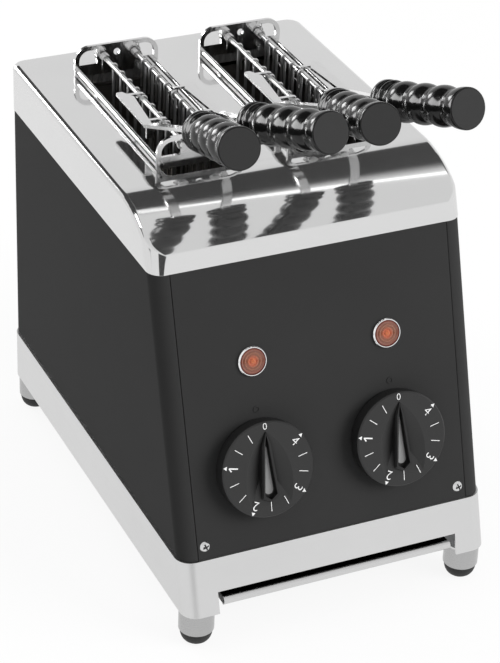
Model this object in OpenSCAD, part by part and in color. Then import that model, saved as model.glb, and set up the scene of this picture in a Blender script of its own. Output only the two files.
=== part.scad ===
// Counter-top snack toaster with two lift-out spring tongs, two timers and a crumb tray.
// Front is -Y, +Z is up, and the feet stand on Z = 0.

/* [Base] */
// Width over the base skirt
base_w = 200; // [196:1:220]
// Depth of the base along its lower edge
base_d = 298; // [294:1:320]
// Height of the base skirt
base_h = 33; // [30:1:42]
// Corner radius of the base in plan
base_r = 10; // [8:0.5:13]
// Step by which the base stands proud of the body panels
base_proud = 1; // [0.8:0.1:1.1]
// Sheet thickness of the folded panels
sheet = 1.2; // [0.9:0.1:1.5]
// Lean of the front back from upright, in degrees
front_lean = 17.2; // [15:0.2:18]
// Width of the notch for the crumb tray in the base
notch_w = 157; // [155:1:162]
// Height of the notch above the lower edge of the base
notch_h = 13; // [12:0.5:16]

/* [Feet] */
// Height of the feet under the base
foot_h = 23; // [19:0.5:35]
// Radius of the steel foot sleeves
foot_r = 10.7; // [9:0.1:11]
// Height of the rubber pads
pad_h = 8; // [5:0.5:10]
// Distance of a foot's axis from the edges of the base
foot_inset = 11.5; // [11.3:0.1:14]
// Radius of the foot bolts
bolt_r = 3; // [2:0.5:4]

/* [Body] */
// Height of the body panels between base and cover
body_h = 164.5; // [155:0.5:190]
// Width of the front and rear panels between their seams
panel_w = 176.4; // [174:0.2:178]
// Gap at a panel seam
seam = 0.3; // [0.2:0.05:0.5]
// Width of the flanges that carry the front and rear panels
flange_w = 9; // [7:0.5:12]
// Radius of the panel screw heads
screw_r = 3.3; // [2.8:0.1:3.6]
// Distance of the lower front screws from the middle of the panel
screw_x = 83.2; // [82:0.2:84]
// Distance of the lower front screws above the base
screw_s = 7.8; // [7:0.2:14]

/* [Cover] */
// Height of the cover
cover_h = 30.5; // [29:0.5:36]
// Step by which the cover stands inside the outline of the base
cover_step = 0.5; // [0.3:0.1:0.7]
// Edge radius along the sides of the cover
edge_r = 3.5; // [2.5:0.5:6]
// Radius of the bend at the front of the cover
bend_r = 72; // [68:1:76]
// Depth of the front bend, from the lip of the cover to the flat top
bend_run = 52.3; // [50:0.1:54]
// Distance of the bread slots from the middle
slot_x = 42; // [41:0.5:44]
// Width of a bread slot
slot_w = 49; // [46:0.5:50]

/* [Controls] */
// Distance of the dials and lamps from the middle
dial_x = 43.3; // [40:0.1:48]
// Height of the dial centres along the panel
dial_s = 49.3; // [44:0.1:60]
// Radius of the dials
dial_r = 29; // [27:0.5:31]
// Thickness of the dials
dial_t = 9.5; // [9:0.5:13]
// Gap between a dial and the panel
dial_gap = 0.8; // [0.5:0.1:1.5]
// Radius of the timer shafts
shaft_r = 3; // [2.5:0.1:3.5]
// Radial running clearance of the timer shafts
shaft_fit = 0.06; // [0.03:0.01:0.09]
// Height of the pilot lamps along the panel
lamp_s = 112.6; // [100:0.2:125]
// Radius of a pilot lamp bezel
lamp_r = 9; // [8:0.1:10]
// Height of the index marks along the panel
index_s = 83.4; // [82:0.2:88]

/* [Crumb tray] */
// Width of the crumb tray
tray_w = 150; // [146:1:152]
// Depth of the crumb tray
tray_d = 250; // [220:1:260]
// Height of the rolled lip of the tray
lip_h = 5.6; // [5:0.1:7]
// Clearance between the tray and its rails
tray_gap = 0.3; // [0.2:0.05:0.5]

/* [Heaters] */
// Radius of a quartz heater tube
tube_r = 4.5; // [4:0.1:5]
// Distance of the heater tubes from the middle of their slot
tube_x = 33; // [32.5:0.1:34]
// Distance of the guard wires from the middle of their slot
guard_x = 26.3; // [26:0.1:26.6]

/* [Tongs] */
// Distance of the tong's rear end plate from the rear edge
tong_back = 37; // [34:0.5:40]
// Length of a tong frame over its end plates
frame_len = 134; // [130:0.5:136]
// Thickness of the end plates
plate_t = 2; // [1.6:0.1:2.4]
// Height of the end plates above the cover
plate_top = 20; // [19:0.5:22]
// Distance of the frame rails from the middle of a tong
rail_x = 25.2; // [25:0.1:26]
// Radius of the rail rods
rail_r = 1.6; // [1.4:0.1:1.8]
// Distance of the jaw rods from the middle of a tong
pivot_x = 10.4; // [10:0.1:11]
// Height of the jaw rods above the cover
pivot_h = 14; // [13:0.1:15]
// Radius of the jaw rods
rod_r = 1.5; // [1.3:0.1:1.8]
// Radial running clearance of the jaw rods
rod_fit = 0.06; // [0.03:0.01:0.09]
// Radius of the grill wires
wire_r = 0.9; // [0.7:0.1:1.1]
// Spacing of the grill wires
wire_pitch = 12; // [11.6:0.1:12.2]
// Depth of the grills below the cover
grill_depth = 125; // [110:1:135]
// Gap between the seated tong and the cover
seat_gap = 0.3; // [0.2:0.05:0.5]

/* [Grips] */
// Distance of a grip's base from the middle of its tong
grip_x = 15.7; // [15:0.1:17]
// Height of a grip's base above the cover
grip_h = 40; // [36:0.5:44]
// Reach of the grip bases in front of the frame
grip_reach = 35; // [31:0.5:39]
// Length of a grip
grip_len = 81; // [74:0.5:86]
// Rise of the grips, in degrees
grip_rise = 19.5; // [14:0.5:24]
// Outward splay of the grips, in degrees
grip_splay = 8.5; // [6:0.5:9]
// Radius of a grip over its bulges
grip_r = 12; // [10.5:0.1:12.4]

/* [Inlet] */
// Distance by which the cable gland stands out behind the base
gland_proud = 5; // [4:0.5:8]
// Radius of the cable bore in the gland
gland_bore = 4; // [3:0.1:5]

/* [Hidden] */
$fn = 48;
// Cuts run past the faces they open by this much
overrun = 10;
// Side of the arms of a cross recess
cross_w = 0.9;
// Clearance of a hole round a screw, a bolt or a pressed-in piece
hole_fit = 0.2;

// Levels and planes of the body
front_y = -(base_d + gland_proud) / 2;
rear_y = front_y + base_d;
base_z = foot_h;
base_top = base_z + base_h;
cover_z = base_top + body_h;
top_z = cover_z + cover_h;
body_r = base_r - base_proud;
bend_y = front_at(cover_z, cover_step) + bend_run;
bend_z = top_z - bend_r;
panel_half = panel_w / 2;
panel_len = body_h / cos(front_lean);

// Planes of the tongs, the slots and the heater box
tong_rear = rear_y - tong_back;
tong_front = tong_rear - frame_len;
slot_lap = 1;
slot_run = 8.5;
slot_y0 = tong_front - slot_run;
slot_y1 = tong_rear - slot_lap;
slot_rim = 6;
box_wall = 1;
box_gap = 9;
box_y0 = slot_y0 - box_gap;
box_y1 = slot_y1 + box_gap;
tube_clear = 5;
box_half = slot_x + tube_x + tube_r + tube_clear;
box_head = 12;
box_top = top_z - sheet - box_head;

// Front plane at a height, moved inward by an inset
function front_at(z, inset = 0) =
    front_y + (z - base_z) * tan(front_lean) + inset / cos(front_lean);

// Side view of the body between two heights, as a block across the width
module side_block(z0, z1, inset, half_w) {
    rotate([90, 0, 90])
        linear_extrude(2 * half_w, center = true)
            polygon([
                [front_at(z0, inset), z0], [rear_y - inset, z0],
                [rear_y - inset, z1], [front_at(z1, inset), z1]
            ]);
}

// Outline of the body at a height: four round corners, the front ones on the leaning plane
corner_steps = 12;
function body_ring(z, inset, r) = [
    for (
        c = [
            [1, front_at(z, inset) + r, -90], [1, rear_y - inset - r, 0],
            [-1, rear_y - inset - r, 90], [-1, front_at(z, inset) + r, 180]
        ],
        i = [0 : corner_steps]
    )
    let (a = c[2] + 90 * i / corner_steps)
    [c[0] * (base_w / 2 - inset - r) + r * cos(a), c[1] + r * sin(a), z]
];

// Block with a leaning front and round upright corners
module wedge(z0, z1, inset, r) {
    n = 4 * (corner_steps + 1);
    polyhedron(
        concat(body_ring(z0, inset, r), body_ring(z1, inset, r)),
        concat(
            [[for (i = [0 : n - 1]) i], [for (i = [n - 1 : -1 : 0]) n + i]],
            [for (i = [0 : n - 1]) [i, n + i, n + (i + 1) % n, (i + 1) % n]]
        )
    );
}

// Wall of a wedge, open at both ends
module wedge_wall(z0, z1, inset, r) {
    difference() {
        wedge(z0, z1, inset, r);
        wedge(z0 - 1, z1 + 1, inset + sheet, r - sheet);
    }
}

// Places children on the front panel: X across, Y up the panel, Z out of it
module on_panel(x, s, out = 0) {
    translate([0, front_at(base_top, base_proud), base_top])
        rotate([90 - front_lean, 0, 0])
            translate([x, s, out]) children();
}

// Places children on the rear panel, Z out of it
module on_rear(x, z, out = 0) {
    translate([x, rear_y - base_proud + out, z]) rotate([-90, 0, 0]) children();
}

// Turns children so that their Z axis runs from p to q
module along(p, q) {
    d = q - p;
    translate(p) rotate([0, acos(d.z / norm(d)), atan2(d.y, d.x)]) children();
}

// Round rod from p to q
module rod(p, q, r) {
    along(p, q) cylinder(r = r, h = norm(q - p));
}

// Rectangle with round corners, cornered at the origin
module round_rect(size, r) {
    translate([r, 0]) square([size.x - 2 * r, size.y]);
    translate([0, r]) square([size.x, size.y - 2 * r]);
    for (x = [r, size.x - r], y = [r, size.y - r]) translate([x, y]) circle(r);
}

// Base skirt with a deck, the tray notch and a plate over each foot
deck_lap = 4;
module base_pan() {
    color("#d6d6d6") difference() {
        union() {
            difference() {
                wedge(base_z, base_top, 0, base_r);
                wedge(base_z - 1, base_top - sheet, sheet, base_r - sheet);
            }
            for (p = foot_places()) translate([p.x, p.y, base_z])
                cylinder(r = foot_inset - 0.6 * sheet, h = sheet);
        }
        translate([deck_lap - box_half, box_y0 + deck_lap, base_z + sheet])
            cube([2 * (box_half - deck_lap), box_y1 - box_y0 - 2 * deck_lap, base_h]);
        translate([-notch_w / 2, front_y - overrun, base_z - overrun])
            cube([notch_w, 2 * overrun + sheet, notch_h + overrun]);
        for (p = foot_places()) translate([p.x, p.y, base_z - 1])
            cylinder(r = bolt_r + hole_fit, h = sheet + 2);
    }
}

// Foot axes
function foot_places() = [
    for (s = [-1, 1], y = [front_y + foot_inset, rear_y - foot_inset])
        [s * (base_w / 2 - foot_inset), y]
];

// Steel sleeves with a small chamfer below
sleeve_edge = 0.8;
module foot_sleeves() {
    color("#c4c4c4") for (p = foot_places()) translate([p.x, p.y, 0])
        rotate_extrude() polygon([
            [bolt_r + hole_fit, pad_h], [foot_r - sleeve_edge, pad_h],
            [foot_r, pad_h + sleeve_edge], [foot_r, base_z], [bolt_r + hole_fit, base_z]
        ]);
}

// Domed rubber pads with a flat to stand on
pad_flat = 5;
module foot_pads() {
    dome = foot_r - sleeve_edge;
    steps = 8;
    color("#1c1c1c") for (p = foot_places()) translate([p.x, p.y, 0])
        rotate_extrude() polygon(concat(
            [[0, 0]],
            [for (i = [0 : steps]) [
                pad_flat + (dome - pad_flat) * sin(90 * i / steps),
                pad_h * (1 - cos(90 * i / steps))
            ]],
            [[0, pad_h]]
        ));
}

// Bolts that hold the feet to the base
bolt_head = 4;
module foot_bolts() {
    color("#8c8c8c") for (p = foot_places()) translate([p.x, p.y, 0]) {
        translate([0, 0, pad_h]) cylinder(r = bolt_r, h = base_z - pad_h + sheet);
        translate([0, 0, base_z + sheet]) cylinder(r = 1.8 * bolt_r, h = bolt_head, $fn = 6);
    }
}

// Angles under the deck on which the tray slides
rail_foot = 6;
tray_z = base_z + 3;
module tray_rails() {
    web_x = tray_w / 2 + tray_gap;
    low = tray_z - tray_gap - sheet;
    high = base_top - sheet;
    run = tray_d - rail_setback;
    color("#bdbdbd") for (s = [0, 1]) mirror([s, 0, 0])
        translate([web_x, front_y + rail_setback, low]) {
            cube([sheet, run, high - low]);
            translate([-rail_foot, 0, 0]) cube([rail_foot + sheet, run, sheet]);
            translate([0, 0, high - low - sheet])
                cube([box_half + deck_lap - web_x, run, sheet]);
        }
}
rail_setback = 14;

// One side of the body with its corner returns and its flanges
module side_panel(s) {
    inset = base_proud;
    back = inset + sheet;
    flange_x = panel_half - flange_w;
    color("#303030") {
        intersection() {
            difference() {
                wedge_wall(base_top, cover_z, inset, body_r);
                translate([-panel_half, front_y - overrun, base_top - 1])
                    cube([panel_w, base_d + 2 * overrun, body_h + 2]);
            }
            translate([s > 0 ? 0 : -base_w, front_y - overrun, base_top])
                cube([base_w, base_d + 2 * overrun, body_h]);
        }
        mirror([s > 0 ? 0 : 1, 0, 0]) difference() {
            union() {
                side_strip(back, flange_x, panel_half + sheet);
                translate([flange_x, rear_y - back - sheet, base_top])
                    cube([flange_w + sheet, sheet, body_h]);
            }
            on_panel(screw_x, screw_s, -overrun) cylinder(r = thread_r, h = 2 * overrun);
            for (z = rear_screw_z) on_rear(screw_x, z, -overrun) cylinder(r = thread_r, h = 2 * overrun);
        }
    }
}
thread_r = 1.75;
rear_screw_z = [base_top + 12, cover_z - 12];

// Strip one sheet thick that lies behind the front plane
module side_strip(inset, x0, x1) {
    translate([(x0 + x1) / 2, 0, 0]) difference() {
        side_block(base_top, cover_z, inset, (x1 - x0) / 2);
        side_block(base_top - 1, cover_z + 1, inset + sheet, base_w);
        translate([-base_w, front_at(cover_z, inset + 2 * sheet), base_top - 1])
            cube([2 * base_w, base_d, body_h + 2]);
    }
}
module side_panel_left() { side_panel(-1); }
module side_panel_right() { side_panel(1); }

// Rear panel with a row of louvre slots and the gland hole
vent_rows = 5;
vent_w = 100;
vent_h = 4;
vent_pitch = 10;
gland_x = -58;
gland_z = base_top + 22;
gland_r = 9;
gland_neck = 7;
module rear_panel() {
    half = panel_half - seam;
    color("#303030") difference() {
        translate([-half, rear_y - base_proud - sheet, base_top]) cube([2 * half, sheet, body_h]);
        for (i = [0 : vent_rows - 1])
            translate([0, rear_y, cover_z - 35 - i * vent_pitch]) rotate([90, 0, 0])
                linear_extrude(2 * overrun, center = true)
                    translate([-vent_w / 2, -vent_h / 2]) round_rect([vent_w, vent_h], vent_h / 2 - 0.01);
        on_rear(gland_x, gland_z, -overrun) cylinder(r = gland_neck + hole_fit, h = 2 * overrun);
        for (s = [-1, 1], z = rear_screw_z)
            on_rear(s * screw_x, z, -overrun) cylinder(r = thread_r + hole_fit, h = 2 * overrun);
    }
}

// Pan-head screw with a cross recess, its head above Z = 0
head_h = 1.7;
shank = 6;
module pan_screw() {
    ball = (screw_r * screw_r + head_h * head_h) / (2 * head_h);
    difference() {
        intersection() {
            translate([0, 0, head_h - ball]) sphere(ball);
            cylinder(r = screw_r, h = 2 * head_h);
        }
        for (a = [0, 90]) rotate(a + 20) translate([-0.6 * screw_r, -cross_w / 2, head_h / 2])
            cube([1.2 * screw_r, cross_w, head_h]);
    }
    translate([0, 0, -shank]) cylinder(r = thread_r - 0.05, h = shank + 0.2);
}
module front_screws() {
    color("#cfcfcf") for (s = [-1, 1]) on_panel(s * screw_x, screw_s) pan_screw();
}
module rear_screws() {
    color("#9a9a9a") for (s = [-1, 1], z = rear_screw_z) on_rear(s * screw_x, z) pan_screw();
}

// Front panel with holes for the timers, the lamps and the screws
timer_bush_r = 5;
lamp_neck = 6;
index_r = 2;
module front_panel() {
    half = panel_half - seam;
    color("#363636") {
        difference() {
            side_strip_panel(half);
            for (s = [-1, 1]) {
                on_panel(s * dial_x, dial_s, -overrun)
                    cylinder(r = timer_bush_r + hole_fit, h = 2 * overrun);
                on_panel(s * dial_x, lamp_s, -overrun)
                    cylinder(r = lamp_neck + hole_fit, h = 2 * overrun);
                on_panel(s * screw_x, screw_s, -overrun)
                    cylinder(r = thread_r + hole_fit, h = 2 * overrun);
            }
        }
        for (s = [-1, 1]) on_panel(s * dial_x, index_s, -0.1)
            rotate_extrude() translate([index_r - 0.6, 0]) square([0.6, 0.5]);
    }
}

// Flat sheet of the front panel, cut level above and below
module side_strip_panel(half) {
    difference() {
        side_block(base_top, cover_z, base_proud, half);
        side_block(base_top - 1, cover_z + 1, base_proud + sheet, base_w);
        translate([-base_w, front_at(cover_z, base_proud + 2 * sheet), base_top - 1])
            cube([2 * base_w, base_d, body_h + 2]);
    }
}

// Cover: flat top, front bend, crease and lip, with round side edges
crease_r = 1.5;
function bend_reach() = bend_run - (bend_z - cover_z) * tan(front_lean);
function crease_turn(inset) =
    asin((bend_reach() * cos(front_lean) - inset) / (bend_r - inset)) - front_lean;
bend_steps = 20;
rim_t = 0.2;
function corner_in(dy, r) = dy < r ? r - sqrt(r * r - (r - dy) * (r - dy)) : 0;
module cover_block(inset, low) {
    half_w = base_w / 2 - cover_step - inset;
    r = edge_r - inset;
    corner = base_r - cover_step - inset;
    turn = crease_turn(inset);
    rad = bend_r - inset;
    rear = rear_y - cover_step - inset;
    hull() {
        for (s = [-1, 1]) {
            for (i = [0 : bend_steps])
                let (
                    a = turn * i / bend_steps,
                    side = corner_in((rad - r) * (sin(turn) - sin(a)), corner)
                )
                translate([
                    s * (half_w - r - side), bend_y - (rad - r) * sin(a), bend_z + (rad - r) * cos(a)
                ]) sphere(r, $fn = 20);
            translate([s * (half_w - corner), rear - corner, low])
                cylinder(r = corner, h = top_z - inset - r - low, $fn = 48);
            translate([s * (half_w - corner), rear - corner, top_z - inset - r])
                rotate_extrude($fn = 48) translate([corner - r, 0]) intersection() {
                    circle(r, $fn = 20);
                    square(r);
                }
            translate([s * (half_w - corner), front_at(low, cover_step + inset) + corner, low])
                linear_extrude(rim_t) circle(corner, $fn = 48);
        }
        translate([
            0, bend_y - (rad - crease_r) * sin(turn), bend_z + (rad - crease_r) * cos(turn)
        ]) rotate([0, 90, 0])
            cylinder(r = crease_r, h = 2 * (half_w - corner), center = true, $fn = 24);
    }
}
slot_r = 4;
module top_cover() {
    color("#cccccc") difference() {
        union() {
            difference() {
                cover_block(0, cover_z);
                cover_block(sheet, cover_z - sheet);
            }
            for (s = [-1, 1]) slot_prism(s, 0, top_z - slot_rim, slot_rim - sheet / 2, sheet);
        }
        for (s = [-1, 1]) slot_prism(s, 0, top_z - slot_rim - 1, slot_rim + overrun, 0);
    }
}

// Upright prism of a slot outline, grown sideways
module slot_prism(s, lift, z, h, grow) {
    translate([s * slot_x - slot_w / 2 - grow, slot_y0 - grow, z + lift])
        linear_extrude(h)
            round_rect([slot_w + 2 * grow, slot_y1 - slot_y0 + 2 * grow], slot_r + grow);
}

// Heater box: end plates pierced for the tubes, side reflectors and a divider
function tube_places() = [
    for (s = [-1, 1], t = [-1, 1], k = [0 : tube_rows - 1])
        [s * slot_x + t * tube_x, tube_low + k * tube_rise]
];
tube_rows = 3;
tube_low = base_top + 45;
tube_rise = 38;
bush_r = tube_r + 1.4;
module box_plate(y) {
    difference() {
        translate([-box_half, y, base_top]) cube([2 * box_half, sheet, box_top - base_top]);
        for (p = tube_places()) translate([p.x, y - 1, p.y]) rotate([-90, 0, 0])
            cylinder(r = bush_r + hole_fit, h = sheet + 2);
    }
}
module box_front_plate() { color("#9c9c9c") box_plate(box_y0 - sheet); }
module box_rear_plate() { color("#9c9c9c") box_plate(box_y1); }
module side_reflectors() {
    color("#a8a8a8") for (s = [0, 1]) mirror([s, 0, 0])
        translate([box_half - box_wall, box_y0, base_top])
            cube([box_wall, box_y1 - box_y0, box_top - base_top]);
}
divider_lift = 12;
module centre_divider() {
    color("#a8a8a8") translate([-box_wall / 2, box_y0, base_top + divider_lift])
        cube([box_wall, box_y1 - box_y0, box_top - base_top - divider_lift]);
}

// Quartz tubes, closed rods here, in ceramic bushes
bush_out = 9;
bush_flange = 2.5;
module heater_tubes() {
    color("#d9d2c8") for (p = tube_places())
        translate([p.x, box_y0 - sheet - bush_out, p.y]) rotate([-90, 0, 0])
            cylinder(r = tube_r, h = box_y1 - box_y0 + 2 * (sheet + bush_out));
}
module heater_bushes() {
    bore = tube_r + 0.05;
    color("#ece6da") for (p = tube_places(), e = [0, 1])
        translate([p.x, e == 0 ? box_y0 - sheet : box_y1 + sheet, p.y])
            rotate([e == 0 ? 90 : -90, 0, 0]) rotate_extrude() polygon([
                [bore, -sheet], [bush_r, -sheet], [bush_r, 0], [bush_r + bush_flange, 0],
                [bush_r + bush_flange, bush_flange], [bush_r, bush_flange],
                [bush_r, bush_out - 1], [bore, bush_out - 1]
            ]);
}

// Guard wires: hairpins on a lower rail, one row on each side of a slot
guard_r = 0.9;
guard_count = 6;
guard_leg = 5;
guard_low = base_top + 14;
guard_head = 10;
module guard_row() {
    pitch = (box_y1 - box_y0) / guard_count;
    bend_h = top_z - guard_head - guard_leg;
    translate([0, box_y0, guard_low]) rotate([-90, 0, 0]) cylinder(r = guard_r, h = box_y1 - box_y0);
    for (i = [0 : guard_count - 1]) translate([0, box_y0 + pitch * (i + 0.5), 0]) {
        for (s = [-1, 1]) translate([0, s * guard_leg, guard_low])
            cylinder(r = guard_r, h = bend_h - guard_low, $fn = 16);
        translate([0, 0, bend_h]) rotate([90, 0, 90])
            rotate_extrude(angle = 180, $fn = 24) translate([guard_leg, 0]) circle(guard_r, $fn = 16);
    }
}
module guard_wires(s) {
    color("#8f8f8f") for (t = [-1, 1]) translate([s * slot_x + t * guard_x, 0, 0]) guard_row();
}
module guard_wires_left() { guard_wires(-1); }
module guard_wires_right() { guard_wires(1); }

// Clockwork timers behind the panel, with a bored bush through it
timer_w = 46;
timer_t = 32;
bush_stand = 3.6;
module timer(s) {
    color("#b9ad8c") on_panel(s * dial_x, dial_s) difference() {
        union() {
            translate([-timer_w / 2, -timer_w / 2, -sheet - timer_t]) cube([timer_w, timer_w, timer_t]);
            translate([0, 0, -sheet - 1]) cylinder(r = timer_bush_r, h = sheet + 1 + bush_stand);
        }
        translate([0, 0, -sheet - timer_t / 2])
            cylinder(r = shaft_r + shaft_fit, h = timer_t + overrun);
    }
}
module timer_left() { timer(-1); }
module timer_right() { timer(1); }
nut_h = 2.8;
nut_r = 8;
module timer_nuts() {
    color("#bfbfbf") for (s = [-1, 1]) on_panel(s * dial_x, dial_s) difference() {
        cylinder(r = nut_r, h = nut_h, $fn = 6);
        translate([0, 0, -1]) cylinder(r = timer_bush_r + 0.05, h = nut_h + 2);
    }
}

// Dial: thick disc with a hollow back and two finger scoops beside a tapered bar
hub_r = 6.5;
dial_skin = 5.2;
dial_edge = 0.8;
scoop_depth = 4.6;
scoop_r = 40.5;
scoop_x = 25.6;
scoop_s = -8.1;
scoop_slope = 23;
scoop_end = -22;
scoop_ramp = 16;
bar_tip = 23;
bar_heel = -16.5;
bar_heel_half = 5;
bar_point = -19.5;
bar_shoulder = 15;
bar_shoulder_half = 2.2;
bar_edge = 0.5;
function bar_outline(grow) = [
    [0, bar_tip + grow], [-bar_shoulder_half - grow, bar_shoulder],
    [-bar_heel_half - grow, bar_heel - grow], [0, bar_point - grow], [bar_heel_half + grow, bar_heel - grow],
    [bar_shoulder_half + grow, bar_shoulder]
];
module dial(s) {
    face = dial_gap + dial_t;
    color("#2b2b2b") on_panel(s * dial_x, dial_s) difference() {
        rotate_extrude($fn = 96) polygon([
            [0, dial_gap], [dial_r - dial_edge, dial_gap], [dial_r, dial_gap + dial_edge],
            [dial_r, face - dial_edge], [dial_r - dial_edge, face], [0, face]
        ]);
        rotate_extrude() polygon([
            [hub_r, dial_gap + bush_stand + 0.6], [hub_r, dial_gap - 1], [nut_r + 2, dial_gap - 1],
            [nut_r + 2, dial_gap + bush_stand + 0.6]
        ]);
        translate([0, 0, dial_gap - 1]) cylinder(r = hub_r + 0.1, h = bush_stand + 1.6);
        translate([0, 0, dial_gap - 1]) cylinder(r = shaft_r, h = shaft_in + 1);
        for (m = [0, 1]) mirror([m, 0, 0]) finger_scoop(face);
        translate([0, 0, face - pocket]) linear_extrude(pocket + 1)
            polygon(bar_outline(pocket_fit - bar_rim));
    }
}
shaft_in = dial_t - dial_skin;

// Scoop right of the bar: a cone wall, a ramp that runs out by the heel, and the bar left standing
module finger_scoop(face) {
    cone_r = scoop_r - scoop_depth / tan(scoop_slope);
    difference() {
        translate([-scoop_x, scoop_s, face - scoop_depth])
            cylinder(r1 = cone_r, r2 = scoop_r + 1 / tan(scoop_slope),
                h = scoop_depth + 1, $fn = 128);
        translate([0, 0, face - scoop_depth - 1]) linear_extrude(scoop_depth + 3)
            polygon(bar_outline(bar_edge));
        translate([-3 * dial_r, -3 * dial_r, 0]) cube([3 * dial_r, 6 * dial_r, 4 * dial_t]);
        translate([-dial_r, scoop_end, face]) rotate([90 - scoop_ramp, 0, 0])
            translate([0, -2 * dial_r, -2 * dial_r]) cube([3 * dial_r, 2 * dial_r, 4 * dial_r]);
    }
}
module dial_left() { dial(-1); }
module dial_right() { dial(1); }

// Dark cap with a deep groove, set in a pocket of the bar, and the pale inlay in the groove
cap_t = 0.7;
pocket = 3.4;
pocket_fit = 0.05;
bar_rim = 0.6;
groove_wall = 0.5;
groove_floor = 0.6;
inlay_t = 0.3;
module pointer(s) {
    color("#161616") on_panel(s * dial_x, dial_s, dial_gap + dial_t) difference() {
        union() {
            linear_extrude(cap_t) polygon(bar_outline(0));
            translate([0, 0, -pocket]) linear_extrude(pocket + cap_t / 2) polygon(bar_outline(-bar_rim));
        }
        translate([0, 0, groove_floor - pocket]) linear_extrude(pocket + overrun)
            polygon(bar_outline(-bar_rim - groove_wall));
    }
}
module pointer_left() { pointer(-1); }
module pointer_right() { pointer(1); }
inlay_top = 12.5;
inlay_low = -13;
inlay_top_r = 0.8;
inlay_low_r = 2.7;
module inlay(s) {
    floor_h = dial_gap + dial_t - pocket + groove_floor;
    color("#8f8f8f") on_panel(s * dial_x, dial_s, floor_h) linear_extrude(inlay_t) {
        polygon([
            [-inlay_low_r, inlay_low], [inlay_low_r, inlay_low],
            [inlay_top_r, inlay_top], [-inlay_top_r, inlay_top]
        ]);
        translate([0, inlay_low]) circle(inlay_low_r);
        translate([0, inlay_top]) circle(inlay_top_r);
    }
}
module inlay_left() { inlay(-1); }
module inlay_right() { inlay(1); }

// Timer shafts from the clockwork into the dials
module shaft(s) {
    start = -sheet - timer_t / 2 + 1;
    color("#c8b87a") on_panel(s * dial_x, dial_s, start)
        cylinder(r = shaft_r, h = dial_gap + shaft_in - start);
}
module shaft_left() { shaft(-1); }
module shaft_right() { shaft(1); }

// Pilot lamps: chrome bezel, ringed amber lens and the lamp body behind
bezel_w = 0.9;
bezel_h = 1.8;
module lamp_bezels() {
    color("#d8d8d8") for (s = [-1, 1]) on_panel(s * dial_x, lamp_s) rotate_extrude($fn = 64) polygon([
        [lamp_r - bezel_w, 0], [lamp_r, 0], [lamp_r, bezel_h - 0.6],
        [lamp_r - 0.5, bezel_h], [lamp_r - bezel_w, bezel_h]
    ]);
}
lens_rings = 3;
module lamp_lenses() {
    rim = lamp_r - bezel_w - 0.05;
    step = rim / (lens_rings + 1);
    color("#c8551e") for (s = [-1, 1]) on_panel(s * dial_x, lamp_s) rotate_extrude($fn = 64)
        polygon(concat(
            [[0, 0], [rim, 0], [rim, 1.2]],
            [for (i = [lens_rings : -1 : 1]) each [
                [step * i + step * 0.45, 1.7], [step * i, 1.3]
            ]],
            [[step * 0.5, 1.8], [0, 1.8]]
        ));
}
lamp_len = 26;
lamp_clip = 3;
module lamp_bodies() {
    color("#4a4a4a") for (s = [-1, 1]) on_panel(s * dial_x, lamp_s) {
        translate([0, 0, -lamp_len]) cylinder(r = lamp_neck, h = lamp_len);
        translate([0, 0, -sheet - lamp_clip]) cylinder(r = lamp_neck + 2, h = lamp_clip);
    }
}

// Terminal block behind the heater box
block_w = 44;
block_h = 18;
block_t = 14;
block_x = -10;
block_y = (box_y1 + rear_y - base_proud) / 2 + 3 - block_t / 2;
module terminal_block() {
    color("#e4e0d4") difference() {
        translate([block_x - block_w / 2, block_y, base_top]) cube([block_w, block_t, block_h]);
        for (i = [-1 : 1]) translate([block_x + i * block_w / 3, block_y + block_t / 2, base_top + 6])
            cylinder(r = 2.5, h = block_h);
    }
}

// Cable gland through the rear panel
gland_in = 9;
module cable_gland() {
    out = base_proud + gland_proud;
    color("#262626") on_rear(gland_x, gland_z) difference() {
        union() {
            translate([0, 0, -sheet - gland_in]) cylinder(r = gland_neck, h = sheet + gland_in);
            cylinder(r1 = gland_r, r2 = gland_r - 1.5, h = out);
            translate([0, 0, -sheet - 4]) cylinder(r = gland_r + 2, h = 4, $fn = 6);
        }
        translate([0, 0, -sheet - gland_in - 1]) cylinder(r = gland_bore, h = out + sheet + gland_in + 2);
    }
}

// Leads from the terminal block along the left wall to the backs of the timers
lead_r = 1.5;
lead_gap = 0.2;
tie_r = 2;
module wiring_loom() {
    wall_x = -(box_half + base_w / 2 - base_proud - sheet) / 2;
    low = base_top + 4 * lead_r;
    reach = sheet + timer_t + lead_gap;
    back_y = front_at(base_top, base_proud) + dial_s * sin(front_lean) + reach * cos(front_lean);
    back_z = base_top + dial_s * cos(front_lean) - reach * sin(front_lean);
    run_y = back_y + overrun;
    start = [block_x - block_w / 2 - lead_gap, block_y + block_t / 2, low];
    corner = [wall_x, start.y, low];
    turn = [wall_x, run_y, low];
    color("#7a2f22") {
        rod(start, corner, lead_r);
        rod(corner, turn, lead_r);
        rod(turn, [dial_x + tie_r, run_y, low], lead_r);
        for (p = [corner, turn]) translate(p) sphere(tie_r);
        for (s = [-1, 1]) {
            tap = [s * dial_x, run_y, low];
            bend = [s * dial_x, run_y, back_z - overrun * tan(front_lean)];
            rod(tap, bend, lead_r);
            for (p = [tap, bend]) translate(p) sphere(tie_r);
            rod([s * dial_x, back_y, back_z], bend, lead_r);
        }
    }
}

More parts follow.
